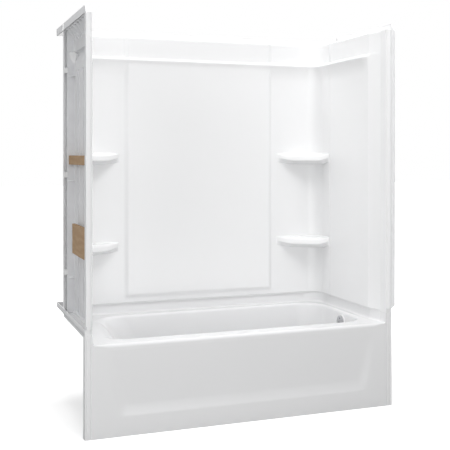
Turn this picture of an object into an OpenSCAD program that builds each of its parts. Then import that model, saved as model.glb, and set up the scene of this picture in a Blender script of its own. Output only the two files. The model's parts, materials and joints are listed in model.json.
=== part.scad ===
// Alcove bath with integral apron, three wall panels and its waste and overflow set.
// Origin: centre of the footprint, on the floor. X runs along the bath, +Y to the back, +Z up.

/* [Overall] */
// Length between the outer faces of the two end walls
unit_l = 1524; // [1480:1:1640]
// Depth from the face of the apron to the face of the back flange
unit_d = 762; // [740:1:820]
// Height from the floor to the top of the wall flanges
unit_h = 1886; // [1840:1:2000]
// How far the front flanges of the end walls stand forward of the apron
front_lap = 30; // [24:1:40]

/* [Bath] */
// Height of the deck above the floor
deck_h = 408; // [395:1:440]
// Moulded thickness of the bath
bath_t = 5; // [4:0.5:6]
// Height of the floor of the basin above the ground
basin_floor_h = 100; // [96:1:120]
// Width of the front rim, from the apron face to the basin
rim_front = 84; // [70:1:100]
// Distance from the right outer face to the basin edge
rim_right = 74; // [70:1:84]
// Distance from the left outer face to the basin edge at its front
rim_left = 132; // [110:1:150]
// Extra width of the left rim at its rear
rim_left_skew = 46; // [20:1:60]
// Distance from the face of the back wall panel to the basin, at the right
rim_back = 26; // [24:1:40]
// Extra width of the back rim at its left
rim_back_skew = 34; // [10:1:50]
// Radius where the deck turns down into the basin
basin_edge_r = 14; // [8:1:18]
// Radius where the basin wall turns into its floor
basin_foot_r = 60; // [40:1:80]
// Inward draft of the basin walls from edge to foot
basin_draft = 26; // [14:1:40]
// Further slope of the backrest at the left end
backrest_lean = 150; // [80:1:190]
// Plan radius of the front left corner of the basin
corner_fl_r = 74; // [60:1:110]
// Plan radius of the other corners of the basin
corner_r = 150; // [120:1:170]
// Radius of the outer front edge of the deck
nose_r = 15; // [8:1:20]
// Height of the wall ledge above the deck
ledge_rise = 50; // [44:1:60]
// Height of the tile flange above the wall ledge
flange_rise = 20; // [16:1:28]
// Depth of the tile flange below the wall ledge
flange_drop = 19; // [15:1:28]
// Depth of the cove between deck and ledge, measured into the bath
cove_w = 22; // [16:1:23]
// Width of the flat strips at the two ends of the bath front
end_strip_w = 27; // [22:1:30]
// Depth of the return along the foot and the ends of the apron
apron_return = 38; // [20:1:60]
// Depth of the tile flange below the wall ledge, behind the seam
flange_drop_rear = 4; // [2:1:8]
// Width of the foam block under the basin floor
foam_w = 340; // [260:5:360]
// Distance from the centre of the drain to the foam block
foam_drain_gap = 90; // [70:5:140]

/* [Apron recess] */
// Height of the lower edge of the recess
recess_z = 88; // [60:1:120]
// Height of the upper edge, where the recess fades out
recess_top = 385; // [340:1:388]
// Distance from each outer end to the lower corner of the recess
recess_inset_low = 151; // [120:1:200]
// Distance from each outer end to the upper corner of the recess
recess_inset_high = 88; // [60:1:118]
// Depth of the recess at its foot
recess_d = 16; // [8:1:22]
// Height of the bevel along its lower edge
recess_bevel = 30; // [20:1:44]

/* [Wall panels] */
// Moulded thickness of the panels
wall_t = 4; // [3:0.5:4.5]
// Distance from the outer end plane to the face of an end panel
end_set = 59; // [56:1:66]
// Distance from the back plane to the face of the back panel
back_set = 62; // [59:1:72]
// Distance from the outer end plane to the face of a front column
column_set = 32; // [30:1:36]
// Width of a front column
column_w = 50; // [40:1:60]
// Width of the slope between column and panel
column_slope_w = 78; // [60:1:90]
// Distance from the back plane to the seam between end and back panels
seam_from_back = 210; // [195:1:235]
// Plan radius of the rear inside corners
wrap_r = 90; // [70:1:110]
// Distance from the top of the wall flanges down to the lower edge of the ledge lip
lip_drop = 155; // [146:1:196]
// Height of the nose of the lip
lip_h = 16; // [12:1:22]
// How far the lip stands in from the panel
lip_out = 19; // [14:1:24]
// Height of the cove under the lip
lip_cove_h = 84; // [60:1:110]
// Height of the nailing flange at the top
top_flange_h = 30; // [26:1:36]
// Corner cut at the ends of the front flanges, in height
flange_cut = 40; // [30:1:50]
// Half width of the raised centre panel of the back wall
panel_half = 395; // [340:1:410]
// Width of the slope along its sides
panel_slope = 26; // [18:1:30]
// How far the centre panel is raised
panel_raise = 8; // [5:1:11]
// Height of its lower edge above the wall ledge
panel_foot = 50; // [40:1:80]
// Height of the stiffening ribs behind the panels
rib_h = 14; // [10:1:15]
// Thickness of the stiffening ribs
rib_t = 5; // [4:1:8]

/* [Shelves] */
// Height of the top of the upper shelves
shelf_high_z = 1243; // [1180:1:1300]
// Height of the top of the lower shelves
shelf_low_z = 779; // [740:1:860]
// Height of a shelf from its top to its underside
shelf_h = 56; // [40:1:64]
// Reach of a shelf along the back wall, from the outer end plane
shelf_reach = 312; // [290:1:340]
// Radius of the shelf tip
shelf_tip_r = 22; // [14:1:30]

/* [Backer boards] */
// Thickness of the boards
board_t = 15; // [12:1:16]
// Height of the lower edge of the large boards
board_low_z = 763; // [740:1:820]
// Height of a large board
board_low_h = 142; // [100:1:160]
// How far the large boards on the end panels stop short of the narrow ones at the rear
board_low_short = 92; // [0:1:140]
// Height of the lower edge of the narrow boards
board_high_z = 1190; // [1150:1:1220]
// Height of a narrow board
board_high_h = 44; // [36:1:60]
// Distance from the apron face to the front ends of the boards on the end panels
board_inset = 116; // [108:1:166]
// Length of the board on the back panel
back_board_len = 1120; // [900:1:1160]

/* [Clips and fixings] */
// Height of the lowest seam clip above the wall ledge
clip_foot = 197; // [160:1:240]
// Distance from the top of the wall flanges down to the highest seam clip
clip_head = 236; // [210:1:280]
// Place of the middle clip between the other two
clip_share = 0.4824; // [0.4:0.0001:0.6]
// Height of a seam clip
clip_h = 26; // [20:1:34]
// Wall thickness of a seam clip
clip_t = 3; // [2:0.5:4]
// Depth of a seam clip, from the edge of the flanges inward
clip_d = 16; // [12:1:20]
// Diameter of the nailing holes
nail_d = 4.5; // [4:0.1:6]
// Spacing of the nailing holes, to suit the studs of a house wall
stud_pitch = 406.4; // [400:0.1:410]

/* [Waste and overflow] */
// Distance from the right outer face to the centre of the drain
drain_from_end = 232; // [226:1:240]
// Distance from the right outer face to the overflow tube
tube_from_end = 56; // [54:1:60]
// Distance from the bath's centreline to the waste, to the front
waste_off = 12; // [0:1:30]
// Distance from the deck down to the overflow centre
overflow_drop = 59; // [58:1:73]
// Outer diameter of the waste tubes
tube_d = 38.1; // [36:0.1:38.4]
// Wall of the waste tubes
tube_wall = 1.8; // [1.2:0.1:2.2]
// Height of the waste arm's axis above the floor
arm_z = 60; // [58:1:62]
// Diameter of the overflow plate
plate_d = 76; // [72:1:80]
// Diameter of the overflow hole in the bath
overflow_hole_d = 54; // [50:1:56]
// Diameter of the drain hole in the bath
drain_hole_d = 46; // [45:1:48]
// Diameter of the drain flange
drain_flange_d = 72; // [66:1:78]
// Diameter of the stopper cap
stopper_d = 44; // [42:1:48]
// Diameter of the stopper stem
stem_d = 5; // [4:0.5:6]
// Radius from the lever pivot to the rod pin
lever_arm = 24; // [22:1:25]
// Swing of the trip lever
lever_swing = 24; // [16:1:26]
// Running clearance of moving pins, on the radius
run_fit = 0.08; // [0.05:0.01:0.12]
// Slip clearance between tubes and sockets, on the radius
slip_fit = 0.12; // [0.08:0.01:0.2]
// Clear gap between moving parts that push on each other
push_gap = 0.3; // [0.2:0.1:0.5]

/* [Hidden] */

$fn = 48;
white = [0.94, 0.94, 0.945];
wood = [0.66, 0.52, 0.38];
chrome = [0.78, 0.79, 0.8];
brass = [0.75, 0.62, 0.35];
rubber = [0.12, 0.12, 0.12];
pipe = [0.2, 0.2, 0.21];
foam = [0.86, 0.87, 0.88];

x_end = unit_l / 2;
y_front = -(unit_d + front_lap) / 2;
y_apron = y_front + front_lap;
y_back = y_apron + unit_d;
x_panel = x_end - end_set;
x_column = x_end - column_set;
y_panel = y_back - back_set;
y_seam = y_back - seam_from_back;
ledge_z = deck_h + ledge_rise;
flange_z = ledge_z + flange_rise;
overflow_z = deck_h - overflow_drop;
top_plate_z = unit_h - top_flange_h;
lip_z = unit_h - lip_drop;
lip_top = lip_z + lip_h;
x_edge = x_end - bath_t - slip_fit;
clip_low = ledge_z + clip_foot;
clip_z = [for (t = [0, clip_share, 1]) clip_low + t * (unit_h - clip_head - clip_low)];
eps = 0.01;

// Unit vector, mitre normals and parallel paths; a positive distance lies to the left of the path.
function unit2(v) = v / norm(v);
function left_of(a, b) = let (d = unit2(b - a)) [-d[1], d[0]];
function mitre(p, i) =
    let (
        n = len(p),
        a = left_of(p[max(i - 1, 0)], p[max(i, 1)]),
        b = left_of(p[min(i, n - 2)], p[min(i + 1, n - 1)]))
    (a + b) / (1 + a * b);
function parallel(p, d) = [for (i = [0 : len(p) - 1]) p[i] + mitre(p, i) * d];
function reversed(p) = [for (i = [len(p) - 1 : -1 : 0]) p[i]];
function arc(c, r, a0, a1, n) =
    [for (i = [0 : n]) let (a = a0 + (a1 - a0) * i / n) c + r * [cos(a), sin(a)]];
function mirrored(p) = [for (q = p) [-q[0], q[1]]];

// Solid skinned over a list of closed rings that all have as many points.
module skin(rings) {
    n = len(rings[0]);
    m = len(rings);
    pts = [for (r = rings) each r];
    sides = [for (j = [0 : m - 2], i = [0 : n - 1]) let (k = (i + 1) % n)
        each [[j * n + i, j * n + k, (j + 1) * n + i], [j * n + k, (j + 1) * n + k, (j + 1) * n + i]]];
    first = reversed([for (i = [0 : n - 1]) i]);
    last = [for (i = [0 : n - 1]) (m - 1) * n + i];
    polyhedron(pts, concat(sides, [first, last]));
}

// Space inside the panels, from the front columns to the rounded rear corners.
module room_prism(grow, z0, h) {
    y_slope = y_apron + column_w + column_slope_w;
    translate([0, 0, z0]) {
        linear_extrude(h)
            polygon([
                [-x_column - grow, y_apron - 1], [x_column + grow, y_apron - 1],
                [x_column + grow, y_apron + column_w], [x_panel + grow, y_slope],
                [x_panel + grow, y_panel - wrap_r], [-x_panel - grow, y_panel - wrap_r],
                [-x_panel - grow, y_slope], [-x_column - grow, y_apron + column_w]]);
        translate([-x_panel + wrap_r, y_slope, 0])
            cube([2 * (x_panel - wrap_r), y_panel + grow - y_slope, h]);
        for (t = [-1, 1])
            translate([t * (x_panel - wrap_r), y_panel - wrap_r, 0])
                cylinder(r = wrap_r + grow, h = h);
    }
}

// Sweeps a profile of [inward distance, height] round the two rear corners and along the back.
module rear_sweep(profile, y_start) {
    translate([-x_panel + wrap_r, 0, 0])
        rotate([90, 0, 90])
            linear_extrude(2 * (x_panel - wrap_r))
                polygon([for (q = profile) [y_panel - q[0], q[1]]]);
    for (t = [0, 1])
        mirror([t, 0, 0]) {
            translate([x_panel - wrap_r, y_panel - wrap_r, 0])
                rotate_extrude(angle = 90)
                    polygon([for (q = profile) [wrap_r - q[0], q[1]]]);
            side_sweep(profile, y_start, y_panel - wrap_r);
        }
}

// Sweeps a profile along the face of the right end panel.
module side_sweep(profile, y0, y1) {
    translate([0, y1, 0])
        rotate([90, 0, 0])
            linear_extrude(y1 - y0)
                polygon([for (q = profile) [x_panel - q[0], q[1]]]);
}

// Plan of the room face of the right front column and its slope.
function column_plan() = [
    [x_column, y_apron],
    [x_column, y_apron + column_w],
    [x_panel, y_apron + column_w + column_slope_w],
    [x_panel, y_apron + column_w + column_slope_w + 1]];

// Bath
// Rounded outline of the basin, drawn in by an inset, with the left end leaning in further.
function basin_corner(x, y, sx, sy, inset, grow, r, a0) =
    let (rr = max(r - inset, basin_foot_r * 0.8))
    arc([x - sx * (inset + rr), y - sy * (inset + rr)], rr + grow, a0, a0 + 90, 5);
function basin_ring(inset, lean, grow, z) =
    let (
        xr = x_end - rim_right,
        xlf = -x_end + rim_left + lean,
        xlr = -x_end + rim_left + rim_left_skew + lean,
        yf = y_apron + rim_front,
        yr = y_panel - rim_back,
        yl = y_panel - rim_back - rim_back_skew,
        pts = concat(
            basin_corner(xr, yr, 1, 1, inset, grow, corner_r, 0),
            basin_corner(xlr, yl, -1, 1, inset, grow, corner_r, 90),
            basin_corner(xlf, yf, -1, -1, inset, grow, corner_fl_r, 180),
            basin_corner(xr, yf, 1, -1, inset, grow, corner_r, 270)))
    [for (p = pts) [p[0], p[1], z]];
function lean_at(z) = backrest_lean * (deck_h - z) / (deck_h - basin_floor_h);
basin_foot_inset = basin_edge_r + basin_draft;
foam_margin = 120;

module basin_space() {
    edge = [for (a = [0, 45, 90]) [basin_edge_r * sin(a), deck_h - basin_edge_r * (1 - cos(a))]];
    foot = [for (a = [0 : 30 : 90])
        [basin_foot_inset + basin_foot_r * (1 - cos(a)), basin_floor_h + basin_foot_r * (1 - sin(a))]];
    levels = concat([[-eps, deck_h + 1]], edge, foot);
    skin([for (l = levels) basin_ring(l[0], lean_at(min(l[1], deck_h)), 0, l[1])]);
}

module basin_shell() {
    rr = basin_foot_r + bath_t;
    foot = [for (a = [0 : 30 : 90])
        [
            basin_foot_inset + basin_foot_r - rr * cos(a) + bath_t,
            basin_floor_h + basin_foot_r - rr * sin(a)]];
    levels = concat([[basin_edge_r, deck_h - bath_t / 2], [basin_edge_r, deck_h - basin_edge_r]], foot);
    skin([for (l = levels) basin_ring(l[0], lean_at(max(l[1], basin_floor_h)), bath_t, l[1])]);
}

// Wedge of the recess in the apron, moved back and widened by grow.
module recess_wedge(grow) {
    low = x_end - recess_inset_low + grow;
    high = x_end - recess_inset_high + grow;
    front = y_apron + (grow > 0 ? grow : -1);
    hull() {
        translate([0, front + (grow > 0 ? 0 : 1), 0])
            rotate([90, 0, 0])
                linear_extrude(1)
                    polygon([
                        [-low, recess_z - grow], [low, recess_z - grow],
                        [high, recess_top], [-high, recess_top]]);
        translate([-low + recess_bevel, y_apron + recess_d + grow - 0.5, recess_z + recess_bevel])
            cube([2 * (low - recess_bevel), 0.5, 0.5]);
    }
}

module apron() {
    side = concat(
        [[y_apron + rim_front, deck_h]],
        arc([y_apron + nose_r, deck_h - nose_r], nose_r, 90, 180, 5),
        [[y_apron, 0]]);
    difference() {
        union() {
            translate([-x_end, 0, 0])
                rotate([90, 0, 90])
                    linear_extrude(unit_l)
                        polygon(concat(side, reversed(parallel(side, bath_t))));
            recess_wedge(bath_t);
            translate([-x_end, y_apron, 0])
                cube([unit_l, apron_return, bath_t]);
            for (s = [-1, 1])
                translate([s * (x_end - bath_t / 2) - bath_t / 2, y_apron + eps, 0])
                    cube([bath_t, apron_return, deck_h - nose_r]);
        }
        recess_wedge(0);
    }
}

// Floor area inside the panels, behind the nose of the apron.
module deck_plate() {
    front = y_apron + nose_r;
    difference() {
        room_prism(bath_t / 2, deck_h - bath_t, bath_t);
        translate([-x_end, front - 100, 0])
            cube([unit_l, 100, unit_h]);
    }
}

// How far the cove runs past the front face, before it is cut, and into the end strips
cove_sink = 1;

function cove_profile() = concat(
    [for (a = [90 : -22.5 : 0]) [cove_w * (1 - sin(a)), deck_h + ledge_rise * (1 - cos(a))]],
    [[cove_w, deck_h - bath_t], [-bath_t - cove_sink, deck_h - bath_t], [-bath_t - cove_sink, ledge_z]]);

module cove() {
    y_slope = y_apron + column_w + column_slope_w;
    plan = column_plan();
    rear_sweep(cove_profile(), y_slope);
    difference() {
        for (t = [0, 1])
            mirror([t, 0, 0])
                skin([for (i = [0 : 2])
                    [for (q = cove_profile())
                        let (p = plan[i] + mitre(plan, i) * q[0])
                        [p[0], p[1] - (i == 0 ? cove_sink : 0), q[1]]]]);
        // The front ends are cut flush with the apron
        translate([-x_end - 1, y_apron - 100, 0])
            cube([unit_l + 2, 100, unit_h]);
    }
}

module ledge_and_flange() {
    high = ledge_z - flange_drop_rear;
    difference() {
        translate([-x_end, y_apron, ledge_z - bath_t])
            cube([unit_l, unit_d, bath_t]);
        room_prism(0, ledge_z - bath_t - 1, bath_t + 2);
    }
    for (t = [-1, 1])
        translate([t * (x_end - bath_t / 2) - bath_t / 2, 0, 0]) {
            translate([0, y_apron, ledge_z - flange_drop])
                cube([bath_t, y_seam - y_apron - bath_t, flange_drop + flange_rise]);
            translate([0, y_seam - 2 * bath_t, high])
                cube([bath_t, y_back - y_seam + 2 * bath_t, flange_z - high]);
        }
    translate([-x_end, y_back - bath_t, high])
        cube([unit_l, bath_t, flange_z - high]);
    strip_foot = deck_h - nose_r - bath_t;
    for (t = [-1, 1])
        translate([t * (x_end - end_strip_w / 2) - end_strip_w / 2, y_apron, strip_foot])
            cube([end_strip_w, bath_t, flange_z - strip_foot]);
}

drain_x = x_end - drain_from_end;
tube_x = x_end - tube_from_end;
waste_y = (y_apron + y_back) / 2 - 15 - waste_off;
pad_x = tube_x - 40;
pad_t = 10;
pad_r = plate_d / 2 + 6;
gasket_t = 4;
gasket_r = overflow_hole_d / 2 + 7;

module bath() {
    color(white)
        difference() {
            union() {
                apron();
                deck_plate();
                cove();
                ledge_and_flange();
                basin_shell();
                along_x(pad_x, waste_y, overflow_z)
                    cylinder(r = pad_r, h = pad_t);
            }
            difference() {
                basin_space();
                along_x(pad_x, waste_y, overflow_z)
                    cylinder(r = pad_r, h = pad_t);
            }
            translate([drain_x, waste_y, basin_floor_h - 2 * bath_t])
                cylinder(d = drain_hole_d, h = 4 * bath_t);
            along_x(pad_x - 1, waste_y, overflow_z)
                cylinder(d = overflow_hole_d, h = pad_t + 2);
            // Flat seat of the plate, where the wall slopes past it
            along_x(pad_x - plate_dome, waste_y, overflow_z)
                cylinder(r = pad_r, h = plate_dome);
            // Flat seat of the gasket on the back of the basin, with room for the elbow
            along_x(pad_x + pad_t, waste_y, overflow_z)
                cylinder(r = gasket_r + slip_fit, h = 4 * pad_t);
        }
}

// Places children so that their Z axis runs along +X from the given point.
module along_x(x, y, z) {
    translate([x, y, z])
        rotate([0, 90, 0])
            children();
}

// Block of foam between the floor and the basin
module support_pad() {
    left = -x_end + rim_left + rim_left_skew + backrest_lean + foam_margin;
    front = y_apron + rim_front + basin_foot_inset + basin_foot_r;
    color(foam)
        translate([left, front, 0])
            cube([drain_x - foam_drain_gap - left, foam_w, basin_floor_h - bath_t]);
}

// Wall panels
function lip_profile() = concat(
    [for (a = [0 : 22.5 : 90]) [lip_out * (1 - cos(a)), lip_z - lip_cove_h * (1 - sin(a))]],
    [
        [lip_out, lip_top - 3], [lip_out - 3, lip_top],
        [-wall_t / 2, lip_top], [-wall_t / 2, lip_z - lip_cove_h]]);
function sheet_profile() = [[0, ledge_z], [-wall_t, ledge_z], [-wall_t, top_plate_z], [0, top_plate_z]];

panel_margin = 10;

// Raised centre of the back panel as a solid pad, moved back by shift and closed at the plane back.
module raised_pad(shift, back) {
    foot = ledge_z + panel_foot;
    wide = panel_half + panel_slope;
    y_low = y_panel + shift;
    y_high = y_low - panel_raise;
    intersection() {
        translate([0, 0, ledge_z])
            linear_extrude(top_plate_z - ledge_z)
                polygon([
                    [-wide, back], [-wide, y_low], [-panel_half, y_high],
                    [panel_half, y_high], [wide, y_low], [wide, back]]);
        translate([-wide, 0, 0])
            rotate([90, 0, 90])
                linear_extrude(2 * wide)
                    polygon([
                        [back, foot - panel_slope], [y_low, foot - panel_slope], [y_high, foot],
                        [y_high, unit_h], [back, unit_h]]);
    }
}

module centre_panel() {
    difference() {
        union() {
            translate([-panel_half - panel_slope - panel_margin, y_panel, ledge_z])
                cube([2 * (panel_half + panel_slope + panel_margin), wall_t, top_plate_z - ledge_z]);
            raised_pad(0, y_panel + wall_t);
        }
        raised_pad(wall_t, y_panel + wall_t + 1);
    }
}

module back_wall() {
    side_w = x_panel - wrap_r - panel_half - panel_slope - panel_margin;
    top_end_gap = 23;
    color(white)
        difference() {
            union() {
                centre_panel();
                rear_sweep(lip_profile(), y_seam);
                for (t = [0, 1])
                    mirror([t, 0, 0]) {
                        translate([x_panel - wrap_r - side_w, y_panel, ledge_z])
                            cube([side_w, wall_t, top_plate_z - ledge_z]);
                        translate([x_panel - wrap_r, y_panel - wrap_r, 0])
                            rotate_extrude(angle = 90)
                                polygon([for (q = sheet_profile()) [wrap_r - q[0], q[1]]]);
                        side_sweep(sheet_profile(), y_seam, y_panel - wrap_r);
                        // Return along the seam
                        translate([x_panel, y_seam, ledge_z])
                            cube([x_edge - x_panel, wall_t, top_plate_z - ledge_z]);
                        // Short flange at the top of the end
                        translate([x_end - wall_t, y_seam + top_end_gap, top_plate_z - wall_t])
                            cube([wall_t, y_back - y_seam - top_end_gap, top_flange_h + wall_t]);
                    }
                difference() {
                    translate([-x_end, y_seam, top_plate_z - wall_t])
                        cube([unit_l, y_back - y_seam, wall_t]);
                    room_prism(wall_t / 2, top_plate_z - wall_t - 1, wall_t + 2);
                }
                translate([-x_end, y_back - wall_t, top_plate_z - wall_t])
                    cube([unit_l, wall_t, top_flange_h + wall_t]);
                back_ribs();
                for (s = [-1, 1], z = [shelf_low_z, shelf_high_z])
                    corner_shelf(s, z);
            }
            for (i = [-1.5, -0.5, 0.5, 1.5])
                translate([i * stud_pitch, y_back + 1, unit_h - top_flange_h / 2])
                    rotate([90, 0, 0])
                        cylinder(d = nail_d, h = wall_t + 2, $fn = 24);
        }
}

rib_margin = 20;
back_rib_pitch = 150;
end_rib_pitch = 100;

module back_ribs() {
    foot = ledge_z + panel_foot + rib_margin;
    for (s = [-1, 1], i = [1, 2])
        translate([s * i * back_rib_pitch - rib_t / 2, y_panel + wall_t / 2 - panel_raise, foot])
            cube([rib_t, rib_h + panel_raise + wall_t / 2, lip_z - lip_cove_h - rib_margin - foot]);
}

// Corner shelf: one layer for each height, drawn in at the nose and at the underside.
function shelf_outline(s, inset) =
    let (
        tip = [x_end - shelf_reach + inset, y_panel],
        seam = [x_panel, y_seam + inset * 1.05 + 1],
        dir = unit2(seam - tip),
        out = [dir[1], -dir[0]],
        mid = (tip + seam) / 2 + out * (8 - inset * 0.3),
        back = arc([x_panel - wrap_r, y_panel - wrap_r], wrap_r + wall_t / 2, 0, 90, 4),
        pts = concat(
            [tip + [0, wall_t / 2], tip + dir * shelf_tip_r + out * shelf_tip_r * 0.3, mid],
            [seam + [wall_t / 2, 0]], back))
    [for (p = s > 0 ? reversed(pts) : pts) [s * p[0], p[1]]];

module corner_shelf(s, top) {
    layers = [[3, 13], [0, 10], [-9, 1.5], [-20, 0], [-33, 5], [-shelf_h, 50], [-shelf_h - 1, 52]];
    intersection() {
        skin([for (i = [len(layers) - 1 : -1 : 0])
            [for (p = shelf_outline(s, layers[i][1])) [p[0], p[1], top + layers[i][0]]]]);
        translate([-x_end, y_seam - 1, top - shelf_h])
            cube([unit_l, y_back - y_seam, shelf_h]);
    }
}

module end_wall(s) {
    y_slope = y_apron + column_w + column_slope_w;
    y_rear = y_seam - slip_fit;
    y_mid = y_rear - wall_t;
    gusset_w = 40;
    nail_foot = 180;
    nail_margin = 120;
    plan = concat([for (i = [0 : 2]) column_plan()[i]], [[x_panel, y_rear]]);
    color(white)
        mirror([s < 0 ? 1 : 0, 0, 0])
            difference() {
                union() {
                    translate([0, 0, ledge_z])
                        linear_extrude(top_plate_z - ledge_z)
                            polygon(concat(plan, reversed(parallel(plan, -wall_t))));
                    side_sweep(lip_profile(), y_slope, y_rear);
                    lip_end(y_slope);
                    // Top plate and top flange
                    difference() {
                        translate([x_panel - 10, y_apron, top_plate_z - wall_t])
                            cube([end_set + 10, y_rear - y_apron, wall_t]);
                        room_prism(wall_t / 2, top_plate_z - wall_t - 1, wall_t + 2);
                    }
                    translate([x_end - wall_t, y_apron, top_plate_z - wall_t])
                        cube([wall_t, y_rear - y_apron, top_flange_h + wall_t]);
                    // Front return and front flange, which stand on the bath's end strip
                    translate([x_column + wall_t / 2, y_apron, flange_z])
                        cube([column_set - wall_t / 2, wall_t, top_plate_z - flange_z]);
                    translate([x_end, 0, 0])
                        rotate([90, 0, -90])
                            linear_extrude(wall_t)
                                polygon([
                                    [-y_apron - wall_t, flange_z], [-y_apron, flange_z],
                                    [-y_front, flange_z + flange_cut / 2], [-y_front, unit_h - flange_cut],
                                    [-y_apron, unit_h], [-y_apron - wall_t, unit_h]]);
                    // Seam return with its gussets
                    translate([x_panel, y_mid, ledge_z])
                        cube([x_edge - x_panel, wall_t, top_plate_z - ledge_z]);
                    for (z = clip_z)
                        translate([0, 0, z - clip_h])
                            linear_extrude(wall_t)
                                polygon([
                                    [x_panel + wall_t / 2, y_mid + wall_t / 2],
                                    [x_panel + wall_t / 2, y_mid - gusset_w],
                                    [x_edge - clip_d, y_mid + wall_t / 2]]);
                    end_ribs();
                }
                for (z = [ledge_z + nail_foot : stud_pitch : unit_h - nail_margin])
                    along_x(x_end - wall_t - 1, y_front + front_lap / 2, z)
                        cylinder(d = nail_d, h = wall_t + 2, $fn = 24);
            }
}

// Front end of the lip, which tapers off on the slope beside the column
module lip_end(y_slope) {
    taper = 26;
    depth = wall_t / 2 + taper * (x_column - x_panel) / column_slope_w;
    intersection() {
        side_sweep([for (q = lip_profile()) [q[0] < 0 ? -depth : q[0], q[1]]], y_slope - taper, y_slope + 1);
        translate([0, 0, lip_z - lip_cove_h - 1])
            linear_extrude(lip_cove_h + lip_h + 2)
                polygon([
                    [x_panel + depth + 1, y_slope - taper], [x_panel - lip_out - 1, y_slope + 1],
                    [x_panel + depth + 1, y_slope + 1]]);
    }
}

module end_ribs() {
    y0 = y_apron + column_w + column_slope_w + rib_margin;
    for (i = [0 : 3])
        translate([x_panel + wall_t / 2, y0 + i * end_rib_pitch, ledge_z + rib_margin])
            cube([wall_t / 2 + rib_h, rib_t, lip_z - lip_cove_h - ledge_z - rib_margin]);
}

module left_end_wall() {
    end_wall(-1);
}

module right_end_wall() {
    end_wall(1);
}

// Boards on the backs of the panels
board_gap = 2;

module end_board(s, z, h, short) {
    y0 = y_apron + board_inset;
    length = y_seam - slip_fit - wall_t - board_gap - short - y0;
    x0 = x_panel + wall_t + rib_h;
    color(wood)
        mirror([s < 0 ? 1 : 0, 0, 0])
            translate([x0, y0, z])
                cube([board_t, length, h]);
}

module left_grab_board() {
    end_board(-1, board_low_z, board_low_h, board_low_short);
}

module left_narrow_board() {
    end_board(-1, board_high_z, board_high_h, 0);
}

module right_grab_board() {
    end_board(1, board_low_z, board_low_h, board_low_short);
}

module right_narrow_board() {
    end_board(1, board_high_z, board_high_h, 0);
}

module back_grab_board() {
    color(wood)
        translate([-back_board_len / 2, y_panel + wall_t + rib_h, board_low_z])
            cube([back_board_len, board_t, board_low_h]);
}

// Clips that hold the seam returns together, pushed on from outside
module seam_clips(s) {
    grip = 2 * wall_t + 2 * slip_fit;
    y_mid = y_seam - slip_fit / 2;
    color([0.96, 0.96, 0.96])
        mirror([s < 0 ? 1 : 0, 0, 0])
            for (z = clip_z)
                translate([0, y_mid - grip / 2 - clip_t, z - clip_h / 2 + wall_t])
                    difference() {
                        translate([x_edge - clip_d, 0, 0])
                            cube([clip_d + clip_t, grip + 2 * clip_t, clip_h]);
                        translate([x_edge - clip_d - 1, clip_t, -1])
                            cube([clip_d + 1 + slip_fit, grip, clip_h + 2]);
                    }
}

module left_seam_clips() {
    seam_clips(-1);
}

module right_seam_clips() {
    seam_clips(1);
}

// Overflow
head_x = pad_x + pad_t + gasket_t;
pivot_x = tube_x - lever_arm;
lever_w = 4;
lever_h = 5;
cheek_t = 3;
pivot_r = 2.5;
screw_off = 24;
screw_r = 2;
screw_head_h = 2.6;
plate_t = 3;
plate_dome = 9;
tube_r = tube_d / 2;
bore_r = tube_r - tube_wall;
socket_r = tube_r + slip_fit;
collar_r = tube_r + 3;
nut_r = collar_r + 4;
nut_h = 18;
nut_lip = 3;
washer_t = 5;
socket_h = 20;

module overflow_plate() {
    slot_h = 2 * ((pivot_x - pad_x + plate_dome) * tan(lever_swing / 2) + 4);
    cheek_x = pad_x - 1;
    color(chrome)
        difference() {
            union() {
                along_x(pad_x, waste_y, overflow_z)
                    rotate_extrude()
                        polygon([
                            [0, -plate_dome], [plate_d * 0.2, -plate_dome + 0.4],
                            [plate_d * 0.36, -plate_dome + 2.4],
                            [plate_d * 0.46, -plate_dome + 5.4], [plate_d / 2, -1], [plate_d / 2, 0],
                            [plate_d / 2 - plate_t, 0], [plate_d * 0.36, -plate_dome + 2.4 + plate_t],
                            [plate_d * 0.2, -plate_dome + plate_t], [0, -plate_dome + plate_t]]);
                for (t = [-1, 1])
                    translate([
                        pad_x - plate_dome + plate_t / 2,
                        waste_y + t * (lever_w / 2 + 1) + (t < 0 ? -cheek_t : 0),
                        overflow_z - 7])
                        cube([pivot_x + 6 - pad_x + plate_dome - plate_t / 2, cheek_t, 14]);
            }
            translate([pad_x - plate_dome - 1, waste_y - lever_w / 2 - 1, overflow_z - slot_h / 2])
                cube([plate_t + 3, lever_w + 2, slot_h]);
            translate([pivot_x, waste_y + 15, overflow_z])
                rotate([90, 0, 0])
                    cylinder(r = pivot_r + run_fit, h = 30);
            for (t = [-1, 1])
                along_x(pad_x - plate_dome - 1, waste_y, overflow_z + t * screw_off)
                    cylinder(r = screw_r + slip_fit, h = plate_dome + 2);
        }
}

module overflow_screws() {
    color(chrome)
        for (t = [-1, 1])
            along_x(pad_x - plate_dome + 0.9, waste_y, overflow_z + t * screw_off) {
                difference() {
                    translate([0, 0, -screw_head_h])
                        cylinder(r1 = 3, r2 = 4.2, h = screw_head_h);
                    translate([-5, -0.6, -screw_head_h - 1])
                        cube([10, 1.2, 2]);
                }
                cylinder(r = screw_r, h = head_x + 9 - pad_x + plate_dome);
            }
}

module overflow_gasket() {
    color(rubber)
        along_x(pad_x + pad_t, waste_y, overflow_z)
            difference() {
                cylinder(r = gasket_r, h = gasket_t);
                translate([0, 0, -1])
                    cylinder(d = overflow_hole_d, h = gasket_t + 2);
            }
}

elbow_r = overflow_hole_d / 2 + 5;
elbow_foot = overflow_z - 52;

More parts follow.
